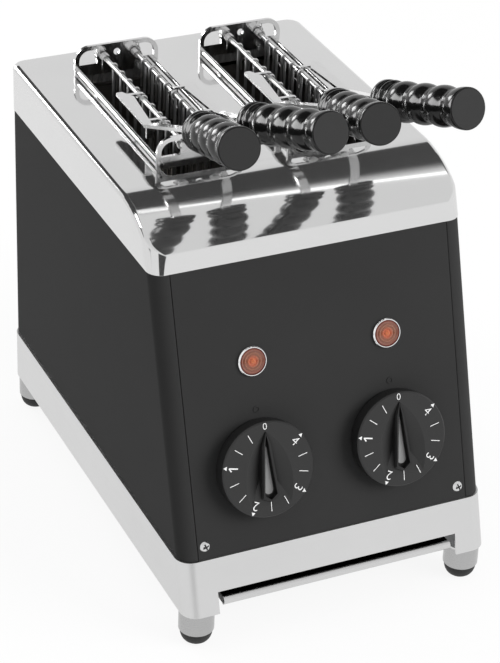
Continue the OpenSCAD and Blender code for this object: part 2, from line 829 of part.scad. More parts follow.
// Crumb tray with a rolled front lip
tray_wall = 5;
tray_sheet = 1;
tray_front = 5;
module crumb_tray() {
    half = tray_w / 2;
    y0 = front_y + tray_front;
    lip_r = lip_h / 2;
    color("#cfcfcf") {
        difference() {
            translate([-half + 0.3, y0, tray_z]) cube([tray_w - 0.6, tray_d - tray_front, tray_wall]);
            translate([-half + 0.3 + tray_sheet, y0 + tray_sheet, tray_z + tray_sheet])
                cube([tray_w - 0.6 - 2 * tray_sheet, tray_d - tray_front - 2 * tray_sheet, tray_wall]);
        }
        translate([-half, y0 - 0.2, tray_z + lip_r]) rotate([0, 90, 0]) difference() {
            cylinder(r = lip_r, h = tray_w);
            translate([0, 0, -1]) cylinder(r = lip_r - tray_sheet, h = tray_w + 2);
            translate([-lip_h, 0.2, -1]) cube([2 * lip_h, lip_h, tray_w + 2]);
        }
    }
}

// End plate of a tong frame, drawn across the tong with height above the cover
rail_h = 4;
rail_wall = 0.9;
plate_half = rail_x + rail_r + rail_wall;
ear_r = 9.5;
window_x0 = pivot_x + 2.6;
window_frame = 2.8;
window_x1 = plate_half - window_frame;
window_h0 = 8;
window_h1 = plate_top - window_frame;
window_r = ear_r - window_frame;
boss_r = 4.2;
boss_out = 3;
eye_r = 2.2;
module plate_outline() {
    translate([ear_r - plate_half, seat_gap]) square([2 * (plate_half - ear_r), plate_top - seat_gap]);
    translate([-plate_half, seat_gap]) square([2 * plate_half, plate_top - seat_gap - ear_r]);
    for (s = [-1, 1]) translate([s * (plate_half - ear_r), plate_top - ear_r]) circle(ear_r);
}
module plate_window() {
    width = window_x1 - window_x0;
    height = window_h1 - window_h0;
    intersection() {
        translate([window_x0, window_h0]) square([width, height]);
        union() {
            translate([window_x0, 0]) square([width, window_h1 - window_r]);
            translate([window_x0, 0]) square([width - window_r, window_h1]);
            translate([window_x1 - window_r, window_h1 - window_r]) circle(window_r);
        }
    }
}
module end_plate() {
    difference() {
        union() {
            rotate([90, 0, 0]) linear_extrude(plate_t) difference() {
                plate_outline();
                for (m = [0, 1]) mirror([m, 0]) plate_window();
                translate([0, pivot_h]) circle(eye_r);
            }
            for (s = [-1, 1]) translate([s * pivot_x, -plate_t, pivot_h])
                rotate([90, 0, 0]) cylinder(r = boss_r, h = boss_out);
        }
        for (s = [-1, 1]) {
            translate([s * pivot_x, overrun, pivot_h])
                rotate([90, 0, 0]) cylinder(r = rod_r + rod_fit, h = 3 * overrun);
            translate([s * rail_x, overrun, rail_h])
                rotate([90, 0, 0]) cylinder(r = rail_r + rail_fit, h = 3 * overrun);
        }
    }
}
module on_tong(side) { translate([side * slot_x, 0, top_z]) children(); }
module tong_plates(side) {
    color("#b4b4b4") on_tong(side) {
        translate([0, tong_rear, 0]) end_plate();
        translate([0, tong_front, 0]) mirror([0, 1, 0]) end_plate();
    }
}
module tong_left_plates() { tong_plates(-1); }
module tong_right_plates() { tong_plates(1); }

// Tubes through the lower corners of the end plates, open at the front end
rail_fit = 0.05;
rail_out = 1;
rail_bore = 0.6;
rail_open = 6;
module tong_rail() {
    translate([0, tong_front - rail_out, rail_h]) rotate([-90, 0, 0]) difference() {
        cylinder(r = rail_r, h = frame_len + 2 * rail_out);
        translate([0, 0, -1]) cylinder(r = rail_bore * rail_r, h = rail_open + 1);
    }
}
module tong_rails(side) {
    color("#c8c8c8") on_tong(side) for (s = [-1, 1]) translate([s * rail_x, 0, 0]) tong_rail();
}
module tong_left_rails() { tong_rails(-1); }
module tong_right_rails() { tong_rails(1); }

// Jaw a is on the left of its tong, jaw b on the right
module on_jaw(side, j) { on_tong(side) mirror([j < 0 ? 1 : 0, 0, 0]) children(); }

// Grill: hinge rod, hanging wires and a lower rail
wire_end = 0.8;
wire_low_r = 1.2;
wire_lead = 10.5;
wire_tail = 8;
wire_count = floor((frame_len - 2 * (plate_t + boss_out) - wire_lead - wire_tail) / wire_pitch) + 1;
wire_first = tong_front + plate_t + boss_out + wire_lead;
rod_head_r = 3;
rod_head = 2;
head_gap = 0.3;
function wire_y(i) = wire_first + i * wire_pitch;
module grill(side, j) {
    y0 = tong_front - head_gap;
    y1 = tong_rear + head_gap;
    color("#c0c0c0") on_jaw(side, j) translate([pivot_x, 0, 0]) {
        translate([0, y0, pivot_h]) rotate([-90, 0, 0]) cylinder(r = rod_r, h = y1 - y0);
        for (y = [y0 - rod_head, y1]) translate([0, y, pivot_h])
            rotate([-90, 0, 0]) cylinder(r = rod_head_r, h = rod_head);
        for (i = [0 : wire_count - 1]) translate([0, wire_y(i), -grill_depth])
            cylinder(r = wire_r, h = grill_depth + pivot_h + rod_r + wire_end, $fn = 16);
        translate([0, wire_y(0) - 2, -grill_depth]) rotate([-90, 0, 0])
            cylinder(r = wire_low_r, h = wire_y(wire_count - 1) - wire_y(0) + 4);
    }
}
module tong_left_grill_a() { grill(-1, -1); }
module tong_left_grill_b() { grill(-1, 1); }
module tong_right_grill_a() { grill(1, -1); }
module tong_right_grill_b() { grill(1, 1); }

// Lever: tapered plate with two hooks round the rod, a front flange, and a flat arm up to the grip
lever_in = 6;
lever_out = 14.6;
lever_taper = 3.8;
lever_back = 8;
lever_h = 15.4;
lever_t = 1.6;
lever_y = 24.5;
lever_len = 47;
clip_w = 2.4;
clip_front = 5.5;
clip_back = 6;
clip_wall = 1.2;
clip_fit = 0.1;
flange_h = 7;
arm_w = 6;
arm_t = 2;
tang_r = 3;
tang_len = 45;
function grip_base() = [grip_x, tong_front - grip_reach, grip_h];
function grip_dir() = [
    sin(grip_splay) * cos(grip_rise), -cos(grip_splay) * cos(grip_rise), sin(grip_rise)
];
module lever(side, j) {
    x0 = pivot_x + lever_in;
    x1 = pivot_x + lever_out;
    y0 = tong_front + lever_y;
    y1 = y0 + lever_len;
    front_x = x0 + lever_taper;
    arm_from = [(front_x + x1) / 2, y0 + arm_t, lever_h + lever_t / 2];
    color("#d2d2d2") on_jaw(side, j) difference() {
        union() {
            translate([0, 0, lever_h]) linear_extrude(lever_t) polygon([
                [front_x, y0], [x1, y0], [x1, y1 - 1], [x1 - 1, y1], [x1 - 4, y1], [x0, y1 - lever_back]
            ]);
            translate([front_x, y0, lever_h - flange_h]) cube([x1 - front_x - 1, arm_t, flange_h]);
            for (c = [[y0 + clip_front, front_x + 0.5], [y1 - clip_back, x0 + 3.2]]) {
                translate([pivot_x, c[0], lever_h]) cube([c[1] - pivot_x, clip_w, lever_t]);
                translate([pivot_x, c[0], pivot_h]) rotate([-90, 0, 0])
                    cylinder(r = rod_r + clip_fit + clip_wall, h = clip_w);
            }
            along(arm_from, grip_base()) translate([-arm_t / 2, -arm_w / 2, 0])
                cube([arm_t, arm_w, norm(grip_base() - arm_from)]);
            translate(grip_base()) along([0, 0, 0], grip_dir()) cylinder(r = tang_r, h = tang_len);
        }
        translate([pivot_x, y0 - overrun, pivot_h]) rotate([-90, 0, 0])
            cylinder(r = rod_r + clip_fit, h = lever_len + 2 * overrun);
    }
}
module tong_left_lever_a() { lever(-1, -1); }
module tong_left_lever_b() { lever(-1, 1); }
module tong_right_lever_a() { lever(1, -1); }
module tong_right_lever_b() { lever(1, 1); }

// Turned grip: collar, short bulge, three full bulges and a flared flat end
collar_len = 6;
neck_len = 7;
bulge_count = 3;
cap_len = 13;
groove_depth = 2.4;
tang_fit = 0.1;
grip_gap = 1.5;
function bulge(from, len, steps) = [
    for (i = [0 : steps]) [
        grip_r - groove_depth + groove_depth * sin(180 * i / steps), from + len * i / steps
    ]
];
module grip(side, j) {
    span = (grip_len - collar_len - neck_len - cap_len) / bulge_count;
    first = collar_len + neck_len;
    steps = 8;
    profile = concat(
        [[0, grip_gap], [grip_r - 0.8, grip_gap], [grip_r, grip_gap + 0.8], [grip_r, collar_len - 0.8]],
        bulge(collar_len, neck_len, 4),
        [for (k = [0 : bulge_count - 1]) each bulge(first + k * span, span, steps)],
        [for (i = [1 : 4]) [
            grip_r - groove_depth + groove_depth * sin(90 * i / 4),
            grip_len - cap_len + (cap_len - 3) * i / 4
        ]],
        [[grip_r, grip_len - 0.8], [grip_r - 0.8, grip_len], [0, grip_len]]
    );
    color("#141414") on_jaw(side, j) translate(grip_base()) along([0, 0, 0], grip_dir()) difference() {
        rotate_extrude($fn = 64) polygon(profile);
        translate([0, 0, -1]) cylinder(r = tang_r + tang_fit, h = tang_len + 2);
    }
}
module tong_left_grip_a() { grip(-1, -1); }
module tong_left_grip_b() { grip(-1, 1); }
module tong_right_grip_a() { grip(1, -1); }
module tong_right_grip_b() { grip(1, 1); }

// Torsion spring round the jaw rod behind the last wire, one unbroken wire with two legs
coil_turns = 4;
coil_rings = 8;
coil_wire = 0.4;
coil_r = 2.6;
coil_pitch = 1.3;
coil_leg = 6;
coil_start = tong_rear - plate_t - boss_out - coil_wire - 0.3;
function coil_path() = concat(
    [[coil_r, coil_start, coil_leg], [coil_r, coil_start, coil_leg / 2]],
    [for (i = [0 : coil_turns * coil_rings]) [
        coil_r * cos(360 * i / coil_rings), coil_start - coil_pitch * i / coil_rings,
        -coil_r * sin(360 * i / coil_rings)
    ]],
    [for (k = [1, 2]) [
        coil_r, coil_start - coil_pitch * coil_turns, -coil_leg * k / 2
    ]]
);
function sweep_dir(path, i) =
    let (d = path[min(i + 1, len(path) - 1)] - path[max(i - 1, 0)]) d / norm(d);
function sweep_ring(path, i, r, sides) =
    let (
        t = sweep_dir(path, i),
        u0 = cross(t, [0, 1, 0]),
        u = u0 / norm(u0),
        v = cross(t, u)
    )
    [for (k = [0 : sides - 1]) path[i] + r * (u * cos(360 * k / sides) + v * sin(360 * k / sides))];
module sweep(path, r, sides) {
    n = len(path);
    points = [for (i = [0 : n - 1]) each sweep_ring(path, i, r, sides)];
    skin = [for (i = [0 : n - 2], k = [0 : sides - 1])
        let (a = i * sides + k, b = i * sides + (k + 1) % sides)
        each [[a, b, b + sides], [a, b + sides, a + sides]]];
    ends = [for (k = [1 : sides - 2]) each [
        [0, k + 1, k], [(n - 1) * sides, (n - 1) * sides + k, (n - 1) * sides + k + 1]
    ]];
    polyhedron(points, concat(skin, ends));
}
function self_gap(path, r, skip) = min([
    for (i = [0 : len(path) - 1], k = [i + skip : 1 : len(path) - 1]) norm(path[i] - path[k])
]) - 2 * r;
echo(spring_gap = self_gap(coil_path(), coil_wire, coil_rings - 2));
module spring(side, j) {
    color("#b0b0b0") on_jaw(side, j) translate([pivot_x, 0, pivot_h]) sweep(coil_path(), coil_wire, 6);
}
module tong_left_spring_a() { spring(-1, -1); }
module tong_left_spring_b() { spring(-1, 1); }
module tong_right_spring_a() { spring(1, -1); }
module tong_right_spring_b() { spring(1, 1); }

base_pan();
foot_sleeves();
foot_pads();
foot_bolts();
tray_rails();
side_panel_left();
side_panel_right();
rear_panel();
rear_screws();
front_panel();
front_screws();
top_cover();
box_front_plate();
box_rear_plate();
side_reflectors();
centre_divider();
heater_tubes();
heater_bushes();
guard_wires_left();
guard_wires_right();
timer_left();
timer_right();
timer_nuts();
lamp_bezels();
lamp_lenses();
lamp_bodies();
terminal_block();
cable_gland();
wiring_loom();
crumb_tray();
dial_left();
dial_right();
pointer_left();
pointer_right();
inlay_left();
inlay_right();
shaft_left();
shaft_right();
tong_left_plates();
tong_left_rails();
tong_left_grill_a();
tong_left_grill_b();
tong_left_lever_a();
tong_left_lever_b();
tong_left_grip_a();
tong_left_grip_b();
tong_left_spring_a();
tong_left_spring_b();
tong_right_plates();
tong_right_rails();
tong_right_grill_a();
tong_right_grill_b();
tong_right_lever_a();
tong_right_lever_b();
tong_right_grip_a();
tong_right_grip_b();
tong_right_spring_a();
tong_right_spring_b();
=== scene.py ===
"""Studio scene of a snack toaster with two lift-out tongs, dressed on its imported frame."""
import logging
import math
from dataclasses import dataclass, field
from enum import Enum
from typing import Any, Optional, Sequence

import bpy
from mathutils import Matrix, Vector


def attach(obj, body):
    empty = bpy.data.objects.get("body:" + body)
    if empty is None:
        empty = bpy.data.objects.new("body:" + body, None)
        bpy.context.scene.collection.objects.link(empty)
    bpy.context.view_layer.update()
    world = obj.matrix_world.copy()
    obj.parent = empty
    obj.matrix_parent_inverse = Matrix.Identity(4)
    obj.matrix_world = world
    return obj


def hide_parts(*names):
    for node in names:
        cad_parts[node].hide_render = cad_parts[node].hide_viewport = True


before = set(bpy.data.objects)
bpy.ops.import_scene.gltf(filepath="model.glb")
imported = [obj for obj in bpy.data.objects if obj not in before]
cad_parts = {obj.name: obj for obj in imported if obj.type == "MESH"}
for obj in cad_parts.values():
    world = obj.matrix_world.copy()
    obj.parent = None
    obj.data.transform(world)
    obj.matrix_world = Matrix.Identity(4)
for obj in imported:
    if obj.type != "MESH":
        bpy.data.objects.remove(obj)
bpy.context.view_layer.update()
LOG = logging.getLogger("toaster")
MM = 0.001
# Range of the grain noise that the roughness swings over, its least value, and the share of the bump that shows
GRAIN_RANGE = (0.3, 0.7)
LEAST_ROUGHNESS = 0.01
BUMP_STRENGTH = 0.5
# Two ends of a range or a flat point, and a point in space
Span = tuple[float, float]
Point = tuple[float, float, float]


class Side(Enum):
    """Left or right of the toaster, with the sign of X there."""

    LEFT = -1
    RIGHT = 1

    @property
    def word(self) -> str:
        """Name part that nodes and bodies of this side carry."""
        return self.name.lower()


class Jaw(Enum):
    """Jaw of a tong: a on its left, b on its right."""

    A = -1
    B = 1

    @property
    def word(self) -> str:
        """Name part that nodes of this jaw carry."""
        return self.name.lower()


@dataclass(frozen=True)
class Sizes:
    """Sizes of the part in millimetres and degrees, as its source states them."""

    base_d: float = 298.0
    base_h: float = 33.0
    foot_h: float = 23.0
    body_h: float = 164.5
    cover_h: float = 30.5
    gland_proud: float = 5.0
    base_proud: float = 1.0
    front_lean: float = 17.2
    dial_x: float = 43.3
    dial_s: float = 49.3
    dial_r: float = 29.0
    dial_face: float = 10.3
    lamp_s: float = 112.6
    lens_r: float = 8.05
    screw_x: float = 83.2
    screw_s: float = 7.8
    screw_r: float = 3.3
    head_h: float = 1.7
    tray_front: float = 5.0
    slot_x: float = 42.0
    tong_back: float = 37.0
    frame_len: float = 134.0
    pivot_x: float = 10.4
    pivot_h: float = 14.0
    rod_r: float = 1.5
    grip_x: float = 15.7
    grip_h: float = 40.0
    grip_reach: float = 35.0
    grip_len: float = 81.0
    grip_rise: float = 19.5
    grip_splay: float = 8.5
    grip_r: float = 12.0

    @property
    def front_y(self) -> float:
        """Front lower edge of the base."""
        return -(self.base_d + self.gland_proud) / 2

    @property
    def rear_y(self) -> float:
        """Rear face of the base."""
        return self.front_y + self.base_d

    @property
    def base_top(self) -> float:
        """Upper edge of the base."""
        return self.foot_h + self.base_h

    @property
    def top_z(self) -> float:
        """Flat top of the cover."""
        return self.base_top + self.body_h + self.cover_h

    @property
    def tong_front(self) -> float:
        """Front face of the tongs' front end plates."""
        return self.rear_y - self.tong_back - self.frame_len

    def panel(self, x: float, s: float, out: float) -> Matrix:
        """Frame of a point on the front panel.

        Args:
            x: Distance from the middle, in millimetres.
            s: Distance up the panel from the base.
            out: Height above the panel.

        Returns:
            Matrix with X across, Y up the panel and Z out of it, in metres.
        """
        lean = math.radians(self.front_lean)
        start_y = self.front_y + self.base_h * math.tan(lean) + self.base_proud / math.cos(lean)
        up = Vector((0, math.sin(lean), math.cos(lean)))
        normal = Vector((0, -math.cos(lean), math.sin(lean)))
        origin = Vector((x, start_y, self.base_top)) + s * up + out * normal
        axes = Matrix((Vector((1, 0, 0)), up, normal)).transposed().to_4x4()
        return Matrix.Translation(origin * MM) @ axes


SIZES = Sizes()


def linear(code: str) -> tuple[float, float, float, float]:
    """Turns an sRGB hex colour into linear light.

    Args:
        code: Colour such as "#c8c8c8".

    Returns:
        Red, green, blue and alpha as Blender's sockets take them.
    """
    parts = [int(code[i:i + 2], 16) / 255 for i in (1, 3, 5)]
    light = [p / 12.92 if p <= 0.04045 else ((p + 0.055) / 1.055) ** 2.4 for p in parts]
    return (*light, 1.0)


def add_node(tree: bpy.types.NodeTree, kind: str, settings: Optional[dict[str, Any]] = None,
             inputs: Optional[dict[Any, Any]] = None) -> bpy.types.Node:
    """Adds a node, sets it and links it.

    Args:
        tree: Node tree that gets the node.
        kind: Blender's node type.
        settings: Attributes of the node.
        inputs: Socket name or index to a constant or to another node's output socket.

    Returns:
        The new node.
    """
    node = tree.nodes.new(kind)
    for key, value in (settings or {}).items():
        setattr(node, key, value)
    for key, value in (inputs or {}).items():
        if isinstance(value, bpy.types.NodeSocket):
            tree.links.new(value, node.inputs[key])
        else:
            node.inputs[key].default_value = value
    return node


@dataclass(frozen=True)
class Finish:
    """Surface finish: a base shader and a fine procedural texture."""

    name: str
    colour: str
    roughness: float
    metallic: float = 0.0
    grain_mm: Point = (1.0, 1.0, 1.0)
    rough_swing: float = 0.05
    bump_mm: float = 0.0
    tone_swing: float = 0.05
    patch_mm: float = 40.0
    sockets: tuple[tuple[str, Any], ...] = ()

    def tone(self, tree: bpy.types.NodeTree, coords: bpy.types.NodeSocket) -> bpy.types.NodeSocket:
        """Colour over the surface.

        Args:
            tree: Node tree of the material.
            coords: Object coordinates in metres.

        Returns:
            Socket of the colour, which drifts slowly.
        """
        patches = add_node(tree, "ShaderNodeTexNoise", None,
                           {"Vector": coords, "Scale": 1 / (self.patch_mm * MM), "Detail": 2.0}).outputs["Fac"]
        base = linear(self.colour)[:3]
        low = (*(c * (1 - self.tone_swing) for c in base), 1.0)
        high = (*(min(c * (1 + self.tone_swing), 1.0) for c in base), 1.0)
        return add_node(tree, "ShaderNodeMix", {"data_type": "RGBA"}, {"Factor": patches, 6: low, 7: high}).outputs[2]

    def build(self) -> bpy.types.Material:
        """Makes the material, once.

        Returns:
            Material with a grain for bump and roughness and its own tone.
        """
        found = bpy.data.materials.get(self.name)
        if found:
            return found
        material = bpy.data.materials.new(self.name)
        material.use_nodes = True
        tree = material.node_tree
        tree.nodes.clear()
        coords = add_node(tree, "ShaderNodeTexCoord").outputs["Object"]
        scale = Vector([1 / (g * MM) for g in self.grain_mm])
        grained = add_node(tree, "ShaderNodeMapping", None, {"Vector": coords, "Scale": scale}).outputs[0]
        grain = add_node(tree, "ShaderNodeTexNoise", None,
                         {"Vector": grained, "Scale": 1.0, "Detail": 3.0, "Roughness": 0.6}).outputs["Fac"]
        rough = add_node(tree, "ShaderNodeMapRange", None,
                         {"Value": grain, "From Min": GRAIN_RANGE[0], "From Max": GRAIN_RANGE[1],
                          "To Min": max(self.roughness - self.rough_swing, LEAST_ROUGHNESS),
                          "To Max": self.roughness + self.rough_swing}).outputs["Result"]
        inputs: dict[Any, Any] = {"Base Color": self.tone(tree, coords), "Roughness": rough,
                                  "Metallic": self.metallic}
        if self.bump_mm:
            inputs["Normal"] = add_node(tree, "ShaderNodeBump", None,
                                        {"Height": grain, "Strength": BUMP_STRENGTH,
                                         "Distance": self.bump_mm * MM}).outputs["Normal"]
        inputs.update(self.sockets)
        shader = add_node(tree, "ShaderNodeBsdfPrincipled", None, inputs)
        add_node(tree, "ShaderNodeOutputMaterial", None, {"Surface": shader.outputs["BSDF"]})
        return material


@dataclass(frozen=True)
class ScorchedFinish(Finish):
    """Finish with painted shade: dark behind one plane across the depth, places in millimetres."""

    start: float = 0.0
    fade: float = 0.4
    # Colour of the painted shade behind the start
    burnt: str = "#1c1a18"

    def tone(self, tree: bpy.types.NodeTree, coords: bpy.types.NodeSocket) -> bpy.types.NodeSocket:
        """Colour over the surface.

        Args:
            tree: Node tree of the material.
            coords: Object coordinates in metres.

        Returns:
            Socket of the colour, with painted shade behind the start.
        """
        depth = add_node(tree, "ShaderNodeSeparateXYZ", None, {"Vector": coords}).outputs["Y"]
        share = add_node(tree, "ShaderNodeMapRange", None,
                         {"Value": depth, "From Min": self.start * MM,
                          "From Max": (self.start + self.fade) * MM}).outputs["Result"]
        return add_node(tree, "ShaderNodeMix", {"data_type": "RGBA"},
                        {"Factor": share, 6: super().tone(tree, coords), 7: linear(self.burnt)}).outputs[2]


@dataclass(frozen=True)
class LensFinish(Finish):
    """Finish of the two lenses, ringed about the axis of each: share of the radius and colour there."""

    rings: tuple[tuple[float, str], ...] = ()

    def tone(self, tree: bpy.types.NodeTree, coords: bpy.types.NodeSocket) -> bpy.types.NodeSocket:
        """Colour over the surface.

        Args:
            tree: Node tree of the material.
            coords: Object coordinates in metres.

        Returns:
            Socket of the colour, which changes from the middle of a lens to its rim.
        """
        place = SIZES.panel(SIZES.dial_x, SIZES.lamp_s, 0.0)
        folded = add_node(tree, "ShaderNodeVectorMath", {"operation": "ABSOLUTE"}, {0: coords}).outputs[0]
        across = add_node(tree, "ShaderNodeSeparateXYZ", None, {"Vector": folded}).outputs["X"]
        side = add_node(tree, "ShaderNodeMath", {"operation": "SUBTRACT"},
                        {0: across, 1: place.translation.x}).outputs[0]
        offset = add_node(tree, "ShaderNodeVectorMath", {"operation": "SUBTRACT"},
                          {0: coords, 1: place.translation}).outputs[0]
        rise = add_node(tree, "ShaderNodeVectorMath", {"operation": "DOT_PRODUCT"},
                        {0: offset, 1: place.col[1].to_3d()}).outputs["Value"]
        flat = add_node(tree, "ShaderNodeCombineXYZ", None, {"X": side, "Y": rise}).outputs[0]
        radius = add_node(tree, "ShaderNodeVectorMath", {"operation": "LENGTH"}, {0: flat}).outputs["Value"]
        share = add_node(tree, "ShaderNodeMath", {"operation": "DIVIDE"},
                         {0: radius, 1: SIZES.lens_r * MM}).outputs[0]
        ramp = add_node(tree, "ShaderNodeValToRGB", None, {"Fac": share})
        stops = ramp.color_ramp.elements
        for at, code in self.rings[1:-1]:
            stops.new(at).color = linear(code)
        stops[0].color, stops[len(self.rings) - 1].color = linear(self.rings[0][1]), linear(self.rings[-1][1])
        return ramp.outputs["Color"]


# Mirror-polished stainless sheet: clear reflections under a breath of haze from the buffing, which lifts the darks
POLISHED = Finish("stainless_sheet_mirror_polished", "#d8d8d8", roughness=0.07, metallic=0.95,
                  grain_mm=(0.6, 60.0, 0.6), rough_swing=0.02, tone_swing=0.02)
# Fine-brushed stainless sheet: broad soft sheen, streaked along the folds; the lines are drawn 0.25 mm apart, which
# is coarser than the real ones, so that they show
BRUSHED = Finish("stainless_sheet_fine_brushed", "#d6d6d6", roughness=0.34, metallic=1.0,
                 grain_mm=(30.0, 30.0, 0.25), rough_swing=0.06, bump_mm=0.004, tone_swing=0.03)
# The crumb tray: brushed like the base at its lip, painted nearly black behind it as the shade inside the tray
TRAY = ScorchedFinish("stainless_tray_brushed_scorched", "#d0d0d0", roughness=0.34, metallic=1.0,
                      grain_mm=(30.0, 30.0, 0.25), rough_swing=0.06, bump_mm=0.004, tone_swing=0.03,
                      start=SIZES.front_y + SIZES.tray_front)
# Painted shade: a dark sheet in the cross of a screw, where the recess lies in shade
RECESS = Finish("steel_recess_painted_shade", "#0a0a0a", roughness=0.6, grain_mm=(0.3, 0.3, 0.3), bump_mm=0.01,
                tone_swing=0.1)
# Turned steel sleeves of the feet: darker grey with fine rings round them
SLEEVE = Finish("steel_sleeve_turned_satin", "#b2b2b2", roughness=0.3, metallic=1.0, grain_mm=(40.0, 40.0, 0.2),
                rough_swing=0.08, bump_mm=0.004)
# Bright drawn wire: narrow hard highlights along each rod
WIRE = Finish("steel_wire_bright_plated", "#d6d6d6", roughness=0.14, metallic=1.0, grain_mm=(3.0, 12.0, 3.0),
              rough_swing=0.04, tone_swing=0.04)
# Chromed bezels of the pilot lamps: a clean white ring
CHROME = Finish("brass_bezel_chromed_satin", "#f4f4f4", roughness=0.24, metallic=1.0, rough_swing=0.03,
                tone_swing=0.02)
# Rods and wires of the grills, dulled by heat: even grey with no hard highlights
GRILL = Finish("steel_wire_heat_dulled", "#d2d2d2", roughness=0.36, metallic=1.0, grain_mm=(3.0, 12.0, 3.0),
               rough_swing=0.06)
# Satin baked enamel: a dull even black that lifts to grey towards the light
ENAMEL = Finish("sheet_steel_satin_black_enamel", "#343434", roughness=0.5, grain_mm=(0.5, 0.5, 0.5),
                rough_swing=0.04, bump_mm=0.012, sockets=(("Specular IOR Level", 0.02),))
# Moulded phenolic with a spark-eroded grain: flat black with no clear reflections; the grain is drawn at 0.35 mm,
# which is coarser than the real one, so that it shows
KNOB = Finish("phenolic_moulded_fine_grain", "#1d1d1d", roughness=0.5, grain_mm=(0.35, 0.35, 0.35), bump_mm=0.012,
              tone_swing=0.06)
# Pressed cap of the pointer: a shade darker and smoother than the dial
CAP = Finish("nylon_cap_matt_black", "#0c0c0c", roughness=0.45, grain_mm=(0.4, 0.4, 0.4), bump_mm=0.006)
# Silver-grey hot foil on the pointer: a soft metallic grey
FOIL = Finish("hot_foil_silver_grey", "#8e8e8e", roughness=0.4, metallic=0.3, grain_mm=(0.5, 0.5, 0.5))
# Polished phenolic of the turned grips: deep black with clear lamp reflections
GRIP = Finish("phenolic_turned_polished_black", "#0b0b0b", roughness=0.16, grain_mm=(2.0, 2.0, 2.0),
              rough_swing=0.03, bump_mm=0.002, sockets=(("Specular IOR Level", 0.3),))
# Flat ends of the grips, faced off and left dull grey
GRIP_END = Finish("phenolic_faced_off_dull", "#1c1c1c", roughness=0.5, grain_mm=(0.3, 0.3, 0.3), rough_swing=0.06,
                  bump_mm=0.006, tone_swing=0.06)
# Moulded rubber: dull black, worn a little grey
RUBBER = Finish("rubber_moulded_black", "#161616", roughness=0.62, grain_mm=(0.5, 0.5, 0.5), rough_swing=0.08,
                bump_mm=0.02, tone_swing=0.1)
# Zinc-plated steel: cold grey with a faint bloom
ZINC = Finish("steel_zinc_plated", "#b4b7ba", roughness=0.35, metallic=1.0, grain_mm=(1.5, 1.5, 1.5),
              rough_swing=0.08, tone_swing=0.08)
# Aluminised reflector sheet: soft bright grey, dulled by heat
REFLECTOR = Finish("sheet_aluminised_heat_dulled", "#8a8784", roughness=0.4, metallic=1.0, grain_mm=(6.0, 6.0, 6.0),
                   rough_swing=0.1, tone_swing=0.12, patch_mm=25.0)
# Milky quartz tube round a cold filament: pale and faintly streaked along its length
QUARTZ = Finish("quartz_tube_milky", "#cfc8bf", roughness=0.25, grain_mm=(1.0, 30.0, 1.0), tone_swing=0.06)
# Glazed steatite of bushes and terminal block: cream with a soft shine
CERAMIC = Finish("steatite_glazed", "#e2dccd", roughness=0.3, bump_mm=0.004)
# Yellow-passivated case of the clockwork: dull brassy bloom
CASE = Finish("steel_passivated_yellow", "#b09a5c", roughness=0.38, metallic=1.0, grain_mm=(2.0, 2.0, 2.0),
              rough_swing=0.08, tone_swing=0.1)
# Moulded nylon of gland and lamp bodies: even black with a fine grain
NYLON = Finish("nylon_moulded_black", "#202020", roughness=0.5, grain_mm=(0.6, 0.6, 0.6), rough_swing=0.06,
               bump_mm=0.01)
# Silicone insulation of the loom: soft dull red
JACKET = Finish("silicone_insulation_red", "#7a2f22", roughness=0.55, bump_mm=0.01)
# White pad-printed ink of the scales: flat and slightly grey
INK = Finish("pad_print_ink_white", "#e6e6e6", roughness=0.55, grain_mm=(0.2, 0.2, 0.2), tone_swing=0.04)
# Moulded amber lens, unlit: brown and mauve rings round a warmer middle, dark red in the rim, and a faint painted
# glow
AMBER = LensFinish("acrylic_lens_amber_ringed", "#8a5a48", roughness=0.14, grain_mm=(1.5, 1.5, 1.5),
                   rough_swing=0.03, bump_mm=0.004, tone_swing=0.1, patch_mm=8.0,
                   sockets=(("Subsurface Weight", 0.15), ("Emission Color", linear("#b04426")),
                            ("Emission Strength", 0.06)),
                   rings=((0.0, "#b85f34"), (0.3, "#aa5236"), (0.42, "#8e523c"), (0.52, "#744838"),
                          (0.6, "#865642"), (0.7, "#6e4638"), (0.84, "#7e5042"), (0.92, "#5a1c0d"),
                          (1.0, "#380e06")))


def dress(obj: bpy.types.Object, *finishes: Finish) -> None:
    """Gives an object its materials.

    Args:
        obj: Mesh object.
        finishes: Finishes in the order of the material slots.
    """
    obj.data.materials.clear()
    for finish in finishes:
        obj.data.materials.append(finish.build())
    LOG.info("%s dressed as %s", obj.name, ", ".join(finish.name for finish in finishes))


def new_mesh(name: str, verts: Sequence[Sequence[float]], faces: Sequence[Sequence[int]], place: Matrix,
             smooth: bool = False) -> bpy.types.Mesh:
    """Makes a mesh from corners and faces.

    Args:
        name: Name of the mesh.
        verts: Corners in millimetres in the piece's own frame.
        faces: Corner indices of the faces.
        place: Frame of the piece in metres.
        smooth: Whether its faces are shaded smooth.

    Returns:
        The mesh, in place.
    """
    mesh = bpy.data.meshes.new(name)
    mesh.from_pydata([place @ (Vector(v) * MM) for v in verts], [], faces)
    mesh.update()
    if smooth:
        mesh.polygons.foreach_set("use_smooth", [True] * len(mesh.polygons))
    return mesh


def add_piece(mesh: bpy.types.Mesh, body: str, slot: str, *finishes: Finish) -> bpy.types.Object:
    """Puts a mesh into the scene as a piece that rides on a body.

    Args:
        mesh: Mesh of the piece, in place, with its name.
        body: Body that it moves with.
        slot: Material slot of the record that it belongs to; not used.
        finishes: Its finishes.

    Returns:
        The new object.
    """
    obj = bpy.data.objects.new(mesh.name, mesh)
    bpy.context.scene.collection.objects.link(obj)
    dress(obj, *finishes)
    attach(obj, body)
    return obj


class SubAssembly:
    """Group of CAD nodes that is dressed as one and gets the pieces that its solids lack."""

    def finishes(self) -> dict[str, Finish]:
        """Finish of each of its CAD nodes."""
        raise NotImplementedError

    def add_pieces(self) -> None:
        """Makes the pieces that the solids lack, where there are any."""

    def build(self) -> None:
        """Dresses the nodes, then adds the pieces."""
        for name, finish in self.finishes().items():
            dress(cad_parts[name], finish)
        self.add_pieces()


